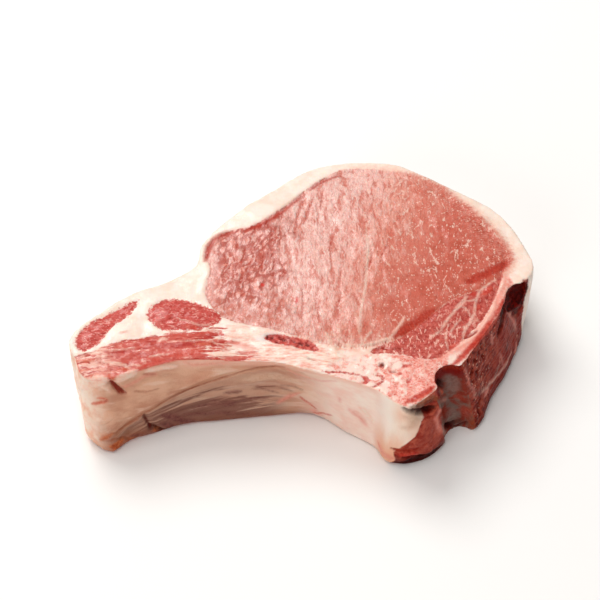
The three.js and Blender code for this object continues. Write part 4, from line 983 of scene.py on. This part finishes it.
class CutFaces(Moist):
    """The upper and lower cut, laid tissue by tissue."""

    def flecks(self, place, spacing, thickness, share):
        made = self.use("fat_flecks", Position=place, Spacing=spacing, Thickness=thickness, Share=share)
        return made["Mask"]

    def eye(self):
        """The eye's colour and height: a coarse net at the belly end, upright folds, then a fine grain."""
        w = self.w
        wander = w.swing(self.broad, 26.0)
        across = w.plus(self.x, w.times(self.y, -0.35), 5.6, wander)
        pale = w.ease(34.0, 4.0, across)
        deep = w.ease(22.0, 50.0, across)
        netted = w.times(w.ease(-2.0, -10.0, w.plus(self.x, wander)), w.ease(-16.0, -6.0, self.y, 0.35, 1.0))
        folded = w.times(w.ease(-16.0, -6.0, self.x, 0.5, 1.0), w.ease(46.0, 26.0, across))
        # upright streaks and patches: painted shade where the folds, crinkles and grain sink, and a painted
        # highlight on the streaks' tops
        upright = w.bent(self.mm, 0.25, 2.6)
        streaks = w.noise(w.stretched(upright, (0.62, 0.15, 0.3), (0, 0, 0.1)), 1.0, 4.0, 0.62)
        crinkle = w.noise(w.stretched(upright, (0.7, 0.42, 0.5), (0, 0, 0.2)), 1.0, 4.0, 0.66, 0.4)
        mottle = w.ease(0.3, 0.7, self.grain)
        # the pale middle is partly the lean's own tone and partly painted sheen
        colour = w.colour(pale, w.colour(deep, ROSE_LEAN, DEEP_LEAN), PALE_LEAN_AND_SHEEN)
        colour = w.colour(w.times(w.ease(0.5, 0.36, crinkle), 0.42), colour, FOLD_SHADE_LEAN)
        colour = w.colour(w.times(w.ease(0.5, 0.36, streaks), folded, 0.72), colour, FOLD_SHADE_LEAN)
        lit_streaks = w.times(w.ease(0.52, 0.66, streaks), w.plus(w.times(folded, 0.4), 0.12))
        colour = w.colour(lit_streaks, colour, PALE_LEAN_AND_SHEEN)
        colour = w.colour(w.times(w.less(mottle), w.plus(w.times(deep, 0.35), 0.2)), colour, FOLD_SHADE_LEAN)
        # the net: dark lines, with a painted highlight on each cell's middle and on the crinkles' tops
        net = self.use("moist_net", Position=self.mm, Width=2.1, Length=6.0, Line=0.2, Lean=-0.34)
        small = self.use("moist_net", Position=self.mm, Width=0.9, Length=2.6, Line=0.16)
        base = w.colour(w.ease(0.36, 0.64, crinkle), shade(226, 136, 120), shade(244, 192, 182))
        netted_colour = w.colour(w.times(w.ease(0.3, 0.9, net["Tone_And_Highlight"]), 0.6), base, shade(248, 208, 202))
        netted_colour = w.colour(w.times(small["Lines"], 0.4), netted_colour, BROWN_LEAN)
        netted_colour = w.colour(w.times(net["Lines"], 0.85), netted_colour, BROWN_LEAN)
        netted = w.times(netted, w.ease(-30.0, -25.0, self.x, 0.5, 1.0))
        colour = w.colour(w.times(netted, 0.95), colour, netted_colour)
        low_end = w.times(w.ease(-2.0, -12.0, self.y), w.ease(6.0, -14.0, self.x),
                          w.ease(0.62, 0.4, crinkle), 0.7)
        colour = w.colour(low_end, colour, shade(200, 104, 84))
        crackle = w.times(small["Lines"], w.less(netted), w.plus(w.times(folded, 0.12), 0.12))
        colour = w.colour(crackle, colour, shade(200, 96, 78))
        patchy = self.grained((0.2, 0.34, 0.3), 0.5, 1.0, 4.0, 0.6)
        colour = w.colour(w.times(w.ease(0.5, 0.34, patchy), deep, 0.6), colour, shade(182, 78, 58))
        colour = w.colour(w.times(w.ease(0.54, 0.68, patchy), deep, 0.5), colour, shade(226, 144, 130))
        rays = w.ease(0.5, 0.64, self.rays(3.4))
        rays = w.times(rays, w.ease(11.0, 1.0, w.attribute("in_eye")), w.ease(30.0, 46.0, self.x),
                       w.ease(2.0, 10.0, self.y))
        colour = w.colour(w.times(rays, 0.55), colour, shade(240, 180, 166))
        # fat in the loin end
        dots = self.dots(0.9, 0.36, 0.42, w.bent(self.mm, 1.5, 0.5))
        colour = w.colour(w.times(dots, w.ease(-6.0, 30.0, self.x, 0.1, 0.55)), colour, FLECK)
        place = w.stretched(self.mm, (1, 0.6, 1), (0, 0, 0.45))
        veins = self.flecks(place, 2.6, 0.12, 0.47)
        colour = w.colour(w.times(veins, w.ease(12.0, 36.0, self.x), 0.7), colour, FLECK)
        # heights are centred about 0, so that no tissue stands above its neighbour
        height = w.plus(w.times(w.plus(net["Height"], -0.5), netted, 0.8),
                        w.times(w.plus(streaks, -0.5), folded, 3.0), w.times(w.plus(crinkle, -0.5), 2.0),
                        w.times(w.plus(small["Height"], -0.45), w.plus(w.times(folded, 0.25), 0.15)),
                        w.times(w.plus(self.grain, -0.5), 0.6))
        return colour, height

    def rays(self, fineness):
        """Streaks that run from the middle of the eye to its border."""
        w = self.w
        angle = w.times(w.math("ARCTAN2", w.plus(self.y, -8.0), w.plus(self.x, -18.0)), 34.0)
        return w.noise(w.joined(angle, w.times(w.attribute("in_eye"), 0.2)), fineness, 3.0, 0.6)

    def eye_mask(self):
        """The eye's border: crisp along the belly, hatched with fat at the loin end and beside the bone."""
        w = self.w
        depth = w.attribute("in_eye")
        hatch = self.rays(1.1)
        loin_rim = w.times(w.ease(24.0, 46.0, self.x), w.ease(0.0, 10.0, self.y))
        bone_rim = w.times(w.ease(-6.0, 4.0, self.x), w.ease(34.0, 26.0, self.x),
                           w.ease(-12.0, -18.0, self.y))
        top_rim = w.times(w.ease(6.0, 14.0, self.x), w.ease(34.0, 40.0, self.y))
        reach = w.plus(w.times(loin_rim, 3.4), w.times(bone_rim, 11.0), 0.7)
        pushed = w.plus(depth, w.swing(hatch, reach))
        pushed = w.plus(pushed, w.times(top_rim, 1.6), w.times(loin_rim, 1.9), w.times(bone_rim, -0.5))
        return self.border(pushed, 0.4, w.plus(w.times(loin_rim, 1.3), w.times(bone_rim, 0.6), 0.3), 1.0)

    def red_lean(self):
        """The belly muscles: deep red with short pale squiggles."""
        w = self.w
        tone = self.grained((0.5, 1.0, 1.0), -0.45, 1.1, 4.0, 0.65)
        colour = w.colour(w.ease(0.3, 0.7, tone), shade(180, 56, 48), shade(212, 96, 88))
        place = w.stretched(self.mm, (0.6, 1.1, 1), (0, 0, -0.4))
        squiggles = self.flecks(place, 1.7, 0.14, 0.5)
        dots = self.dots(1.0, 0.36, 0.3)
        colour = w.colour(w.times(squiggles, 0.7), colour, shade(240, 176, 164))
        return w.colour(w.times(dots, 0.4), colour, shade(240, 176, 164)), w.plus(tone, -0.5)

    def rib_lean(self):
        """The meat over the rib: strands along it, with pale tissue between."""
        w = self.w
        lengthwise = w.bent(self.mm, 0.25, 3.0)
        tone = w.noise(w.stretched(lengthwise, (0.14, 0.95, 0.95), (0, 0, -0.16)), 1.0, 5.0, 0.62)
        mixed = w.plus(w.times(w.attribute("strands"), 0.18), tone)
        colour = w.colour(w.ease(0.32, 0.62, mixed), shade(178, 52, 44), shade(206, 96, 84))
        colour = w.colour(w.ease(0.61, 0.76, mixed), colour, shade(244, 184, 170))
        specks = self.dots(1.2, 0.42, 0.34)
        colour = w.colour(w.times(specks, 0.4), colour, shade(240, 178, 164))
        pale_end = w.times(w.ease(-56.0, -66.0, self.x), w.ease(0.35, 0.6, tone), 0.8)
        return w.colour(pale_end, colour, shade(248, 206, 190)), w.times(w.plus(tone, -0.5), 1.6)

    def rib_mask(self):
        """The rib meat's border: frayed along the rib, most of all beside the rib's marrow."""
        w = self.w
        strands = self.grained((0.12, 0.8, 0.8), -0.1, 1.0, 4.0, 0.6)
        fray = w.swing(strands, w.ease(-50.0, -26.0, self.x, 2.0, 26.0))
        depth = w.plus(w.attribute("in_rib_meat"), fray)
        return self.border(depth, 0.5, w.ease(-44.0, -20.0, self.x, 0.4, 1.6))

    def marbled_lean(self):
        """The muscles beside the feather bone, crossed by many seams."""
        w = self.w
        colour = w.colour(w.ease(0.3, 0.7, self.grain), shade(168, 54, 46), shade(208, 104, 92))
        place = w.stretched(self.mm, (1.3, 0.6, 1), (0, 0, -0.7))
        veins = self.flecks(place, 2.6, 0.15, 0.5)
        small = self.flecks(self.mm, 1.3, 0.16, 0.42)
        toward_spine = w.ease(-8.0, -24.0, self.y, 0.4, 0.9)
        colour = w.colour(w.times(veins, toward_spine), colour, shade(246, 190, 174))
        colour = w.colour(w.times(small, toward_spine, 0.8), colour, shade(244, 186, 170))
        return colour, w.plus(self.grain, -0.5)

    def fat(self):
        """White fat, creamier and pinker in patches and towards the loin end."""
        w = self.w
        patches = w.noise(self.mm, 0.24, 4.0, 0.55)
        colour = w.colour(w.ease(0.36, 0.74, patches), FAT_WHITE, FAT_CREAM)
        loin_end = w.ease(4.0, 40.0, self.x)
        pinkish = w.times(loin_end, w.ease(0.3, 0.6, patches, 0.2, 0.8), 0.45)
        colour = w.colour(pinkish, colour, shade(242, 206, 186))
        near_eye = w.plus(w.attribute("in_eye"), w.swing(self.grain, 5.0))
        touching = w.times(w.ease(-4.6, -1.0, near_eye), loin_end, 0.7)
        colour = w.colour(touching, colour, shade(228, 158, 138))
        touching = w.times(w.ease(-1.8, 0.2, w.attribute("in_eye")), 0.25)
        colour = w.colour(touching, colour, FAT_PINK)
        beside_rib = w.times(w.ease(-40.0, -10.0, self.x), w.ease(20.0, 12.0, self.x),
                             w.ease(-12.0, -22.0, self.y))
        stringy = self.grained((0.3, 1.0, 1), 0.25, 0.8, 4.0, 0.65)
        colour = w.colour(w.times(beside_rib, w.ease(0.4, 0.62, stringy), 0.8), colour, shade(238, 172, 154))
        strings = w.times(w.ease(0.56, 0.68, stringy), beside_rib, 0.5)
        colour = w.colour(strings, colour, shade(216, 112, 92))
        return colour, patches

    def bone(self):
        """Sawn bone: a pale shell about red spongy bone."""
        w = self.w
        patches = w.noise(self.mm, 0.34, 4.0, 0.6, 0.3)
        far = w.times(w.ease(18.0, 36.0, self.x), w.ease(48.0, 42.0, self.x))
        spongy = w.ease(0.43, 0.58, w.plus(patches, w.times(far, 0.2), -0.08))
        rose = w.colour(w.ease(0.3, 0.7, self.grain), BONE_ROSE, shade(246, 178, 164))
        colour = w.colour(spongy, BONE_PALE, rose)
        pores = self.dots(1.1, 0.36, 0.5, w.bent(self.mm, 0.9, 0.7))
        colour = w.colour(w.times(pores, spongy, 0.7), colour, shade(204, 70, 58))
        net = self.flecks(self.mm, 1.6, 0.16, 0.55)
        colour = w.colour(w.times(net, spongy, 0.6), colour, BONE_PALE)
        ridge = w.colour(w.ease(0.4, 0.7, self.grain), shade(238, 160, 144), shade(248, 204, 190))
        return w.colour(w.ease(-30.0, -26.0, self.y), colour, ridge), w.plus(self.grain, -0.5)

    def finished(self):
        w = self.w
        body, height = self.fat()
        height = w.times(w.plus(height, -0.5), 0.7)
        layers = (
            (self.bone, lambda: self.tissue("backbone", 0.5, 0.8)),
            (self.rib_lean, self.rib_mask),
            (self.marbled_lean, lambda: self.tissue("marbled", 0.5, 0.35)),
            (self.red_lean, lambda: self.tissue("belly", 0.95, 0.5, 1.0)),
            (self.eye, self.eye_mask),
        )
        for look, border in layers:
            colour, rise = look()
            mask = border()
            body = w.colour(mask, body, colour)
            height = w.node("ShaderNodeMix", {0: mask, 2: height, 3: rise}, data_type="FLOAT").outputs[0]
        return self.glazed(body, height, 0.55, 0.16)


class Walls(Moist):
    """Everything between the two cuts."""

    def inner_wall(self):
        """The rib-cage side: a beige membrane, dusky below the rib, pinkish white at the backbone."""
        w = self.w
        under = w.attribute("under_crease")
        patches = self.grained((0.08, 0.2, 0.2), 0.0, 1.0, 4.0, 0.55)
        colour = w.colour(w.ease(0.36, 0.7, patches), MEMBRANE, MEMBRANE_TAN)
        slant = w.plus(under, w.times(self.x, -0.16))
        streak = w.noise(w.joined(w.times(self.x, 0.045), w.times(slant, 0.5)), 1.0, 4.0, 0.6, 0.4)
        rib_top = w.times(w.ease(0.5, -2.0, under), w.ease(-8.5, -4.5, under),
                          w.ease(-44.0, -24.0, self.x), 0.4)
        colour = w.colour(rib_top, colour, shade(212, 142, 114))
        sheen = w.noise(w.stretched(self.mm, (0.06, 0.3, 0.3), (0, 0.12, 0)), 1.0, 3.0, 0.5)
        colour = w.colour(w.ease(0.52, 0.68, sheen, 0.0, 0.55), colour, shade(238, 206, 184))
        # a rust-brown band under the ledge over the crease: partly rust tint, partly painted shade
        rust_and_shade_band = w.times(w.ease(-1.6, -0.2, under), w.ease(2.6, 0.4, under), w.ease(-14.0, -34.0, self.x), 0.6)
        colour = w.colour(rust_and_shade_band, colour, shade(168, 104, 74))
        below = w.times(w.ease(1.0, 4.0, under), w.ease(4.0, -12.0, self.x))
        colour = w.colour(w.times(below, 0.55), colour, shade(180, 138, 118))
        dusky = w.plus(under, w.swing(streak, 46.0), w.ease(-38.0, -10.0, self.x, 0.0, -11.0))
        dusky = w.times(w.ease(3.0, 10.0, dusky), w.ease(-62.0, -48.0, self.x), w.ease(-2.0, -14.0, self.x))
        dusk = w.colour(w.ease(0.5, 0.7, streak), shade(128, 82, 70), DUSK)
        colour = w.colour(w.times(dusky, 0.86), colour, dusk)
        # painted shade, darkening the wall towards the floor
        foot = w.times(w.ease(6.0, 0.5, self.z), w.ease(-58.0, -50.0, self.x), 0.6)
        colour = w.colour(foot, colour, shade(136, 80, 58))
        # painted shade in the low corner at the belly end, more orange-brown towards the floor
        corner_shade = w.plus(self.z, w.swing(streak, 22.0))
        corner_shade = w.times(w.ease(15.0, 6.0, corner_shade), w.ease(-68.0, -62.0, self.x),
                         w.ease(-48.0, -56.0, self.x), 0.75)
        corner_shade_tint = w.colour(w.ease(7.0, 1.0, self.z), shade(142, 86, 62), shade(166, 80, 40))
        colour = w.colour(corner_shade, colour, corner_shade_tint)
        pale_end = w.ease(-4.0, 12.0, w.plus(self.x, w.swing(patches, 12.0)))
        pinkish = w.colour(w.ease(0.3, 0.75, patches), shade(254, 230, 216), shade(246, 202, 186))
        colour = w.colour(pale_end, colour, pinkish)
        near_top = w.times(w.ease(26.5, 30.5, self.z), w.ease(-52.0, -30.0, self.x, 0.3, 0.75))
        return w.colour(near_top, colour, shade(240, 186, 166))

    def smooth_disc(self):
        """The disc on the backbone's front: cream, rosier to its left and foot."""
        w = self.w
        soft = self.grained((0.2, 0.2, 0.09), 0.0, 1.0, 3.0, 0.5)
        colour = w.colour(w.ease(0.35, 0.7, soft), shade(250, 224, 206), shade(244, 200, 176))
        colour = w.colour(w.times(w.ease(27.0, 23.5, self.x), 0.6), colour, shade(250, 214, 198))
        colour = w.colour(w.times(w.ease(13.0, 5.0, self.z), 0.8), colour, shade(236, 168, 132))
        lit_edge = w.times(w.ease(10.0, 18.0, self.z), w.ease(31.0, 27.0, self.x), 0.8)
        colour = w.colour(lit_edge, colour, shade(255, 238, 226))
        shaded = w.times(w.ease(17.0, 24.0, self.z), w.ease(31.0, 36.0, self.x), 0.6)
        return w.colour(shaded, colour, shade(178, 144, 116))

    def open_bone(self, dark, light, pore_share):
        """Broken or split bone and meat, with dark pores."""
        w = self.w
        tone = w.noise(self.mm, 0.45, 5.0, 0.62, 0.4)
        colour = w.colour(w.ease(0.35, 0.65, tone), dark, light)
        pores = self.dots(1.5, 0.42, 0.5, w.bent(self.mm, 0.8, 0.9))
        return w.colour(w.times(pores, pore_share), colour, shade(60, 9, 6))

    def split_side(self):
        """The side split down the spine: spongy bone, then dark meat with pale films across it."""
        w = self.w
        bone = self.open_bone(shade(118, 24, 12), shade(168, 70, 50), 0.85)
        crumbs = self.dots(1.2, 0.36, 0.5, w.bent(self.mm, 1.1, 0.8))
        bone = w.colour(w.times(crumbs, 0.65), bone, shade(226, 166, 142))
        meat = self.open_bone(shade(124, 22, 12), shade(160, 54, 36), 0.3)
        colour = w.colour(w.ease(56.0, 62.0, w.plus(self.x, w.times(self.z, -0.12))), bone, meat)
        torn = w.stretched(w.bent(self.mm, 0.3, 3.0), (0.4, 0.4, 0.11), (0.35, 0.5, 0))
        shreds = w.noise(torn, 1.0, 4.0, 0.62)
        film = w.times(w.ease(0.57, 0.68, shreds), w.ease(52.0, 64.0, self.x, 0.2, 0.7))
        colour = w.colour(film, colour, shade(214, 142, 120))
        low = w.times(w.ease(7.0, 1.0, self.z), 0.6)
        return w.colour(low, colour, shade(86, 14, 8))

    def canal_wall(self):
        """The spinal canal: a greyish lining, dark red under its roof."""
        w = self.w
        tone = w.noise(self.mm, 0.3, 4.0, 0.6, 0.3)
        colour = w.colour(w.ease(0.42, 0.6, tone), shade(124, 94, 84), shade(136, 46, 30))
        roof = w.ease(24.0, 28.0, w.plus(self.z, w.times(tone, 2.0)))
        colour = w.colour(roof, colour, shade(118, 16, 8))
        rust = w.times(w.ease(52.0, 54.5, self.x), 0.7)
        return w.colour(rust, colour, shade(146, 68, 40))

    def outer_fat(self):
        w = self.w
        patches = w.noise(self.mm, 0.18, 4.0, 0.55)
        rubbed = self.grained((0.3, 0.3, 1.0), 0.0, 0.7, 4.0, 0.6)
        white = w.colour(w.ease(0.4, 0.72, patches), FAT_WHITE, FAT_CREAM)
        return w.colour(w.ease(0.56, 0.72, rubbed, 0.0, 0.5), white, FAT_PINK)

    def bone_shell(self):
        return self.w.colour(self.w.ease(0.35, 0.65, self.broad), shade(248, 218, 200), shade(238, 186, 168))

    def belly_end(self):
        w = self.w
        blotches = self.grained((0.3, 0.3, 0.2), 0.0, 1.0, 4.0, 0.6)
        colour = w.colour(w.ease(0.38, 0.66, blotches), shade(252, 226, 208), shade(244, 190, 164))
        return w.colour(w.times(w.ease(7.0, 0.5, self.z), 0.5), colour, shade(222, 150, 106))

    def bare_face(self):
        """The rough part of the backbone's front, dark red at its foot."""
        w = self.w
        colour = self.open_bone(shade(146, 36, 22), shade(190, 88, 66), 0.2)
        return w.colour(w.times(w.ease(8.0, 2.0, self.z), 0.8), colour, shade(70, 10, 7))

    # the pocket's dark red: partly blood-soaked meat, partly painted shade in the hollow
    def pocket(self):
        return self.w.colour(self.w.ease(0.4, 0.65, self.grain), shade(66, 5, 2), shade(126, 16, 8))

    def finished(self):
        w = self.w
        colour = w.colour(self.border(w.attribute("in_fat"), 0.3, 0.5), shade(214, 112, 96), self.outer_fat())
        colour = w.colour(self.border(w.attribute("in_backbone"), 0.3, 0.5), colour, self.bone_shell())
        for look, zone in ((self.inner_wall, "inner"), (self.belly_end, "tail"), (self.smooth_disc, "front")):
            colour = w.colour(w.attribute(zone), colour, look())
        for look, zone in ((self.bare_face, "bare"), (self.split_side, "split"), (self.canal_wall, "canal"),
                           (self.pocket, "pocket")):
            mask = self.border(w.plus(w.times(w.attribute(zone), 2.0), -1.0), 0.25, 0.4)
            colour = w.colour(mask, colour, look())
        return self.glazed(colour, w.times(w.plus(self.grain, -0.5), 0.5), 0.06, 0.08)


def floor_and_light():
    mesh = bpy.data.meshes.new("floor")
    corners = [(x * FLOOR_REACH, y * FLOOR_REACH, 0) for x, y in ((-1, -1), (1, -1), (1, 1), (-1, 1))]
    mesh.from_pydata(corners, [], [(0, 1, 2, 3)])
    floor = bpy.data.objects.new("floor", mesh)
    floor.location.z = -FLOOR_DROP
    bpy.context.scene.collection.objects.link(floor)
    material = bpy.data.materials.new("pale_floor")
    material.use_nodes = True
    shader = material.node_tree.nodes["Principled BSDF"]
    shader.inputs["Base Color"].default_value = (0.93, 0.93, 0.93, 1)
    shader.inputs["Roughness"].default_value = 0.7
    mesh.materials.append(material)

    world = bpy.data.worlds.new("soft_room")
    bpy.context.scene.world = world
    world.use_nodes = True
    world.node_tree.nodes["Background"].inputs["Color"].default_value = (1.0, 0.98, 0.96, 1)
    world.node_tree.nodes["Background"].inputs["Strength"].default_value = 0.34
    for name, place, size, power in (
        ("window", (-0.45, 0.75, 1.15), 0.8, 12.6),
        ("overhead", (-0.25, -0.15, 1.5), 1.0, 6.6),
        ("front", (-0.6, -1.1, 0.75), 0.8, 4.2),
    ):
        data = bpy.data.lights.new(name, "AREA")
        data.shape = "DISK"
        data.size = size
        data.energy = power
        data.color = LAMP_COLOUR
        lamp = bpy.data.objects.new(name, data)
        lamp.location = place
        lamp.rotation_euler = (Vector(LAMP_AIM) - lamp.location).to_track_quat("-Z", "Y").to_euler()
        bpy.context.scene.collection.objects.link(lamp)


def photograph_camera():
    back = Vector((0, -math.cos(ELEVATION), math.sin(ELEVATION)))
    right = Vector((1, 0, 0))
    up = back.cross(right)
    data = bpy.data.cameras.new("camera")
    data.sensor_width = SENSOR
    data.lens = SENSOR * FOCAL_RATIO
    data.clip_start = 0.01
    camera = bpy.data.objects.new("camera", data)
    aside = (AIM_SEEN[0] - 0.5) / FOCAL_RATIO
    above = -(AIM_SEEN[1] - 0.5) / FOCAL_RATIO
    place = Vector(AIM) - Vector(ORIGIN) - DISTANCE * (right * aside + up * above - back)
    camera.matrix_world = Matrix((right, up, back)).transposed().to_4x4()
    camera.location = place * MM
    bpy.context.scene.collection.objects.link(camera)
    bpy.context.scene.camera = camera


photograph_camera()
floor_and_light()
effects = (ragged_border, fat_flecks, moist_net, scattered_dots)
chop = chop_skin()
groups = {effect.__name__: effect() for effect in effects}
chop.data.materials.append(CutFaces("moist_cut_pork", groups, WALL_ONLY).finished())
chop.data.materials.append(Walls("membrane_and_fat_walls", groups, CUT_ONLY).finished())
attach(chop, "root")
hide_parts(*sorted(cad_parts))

bpy.context.scene.view_settings.view_transform = "Standard"
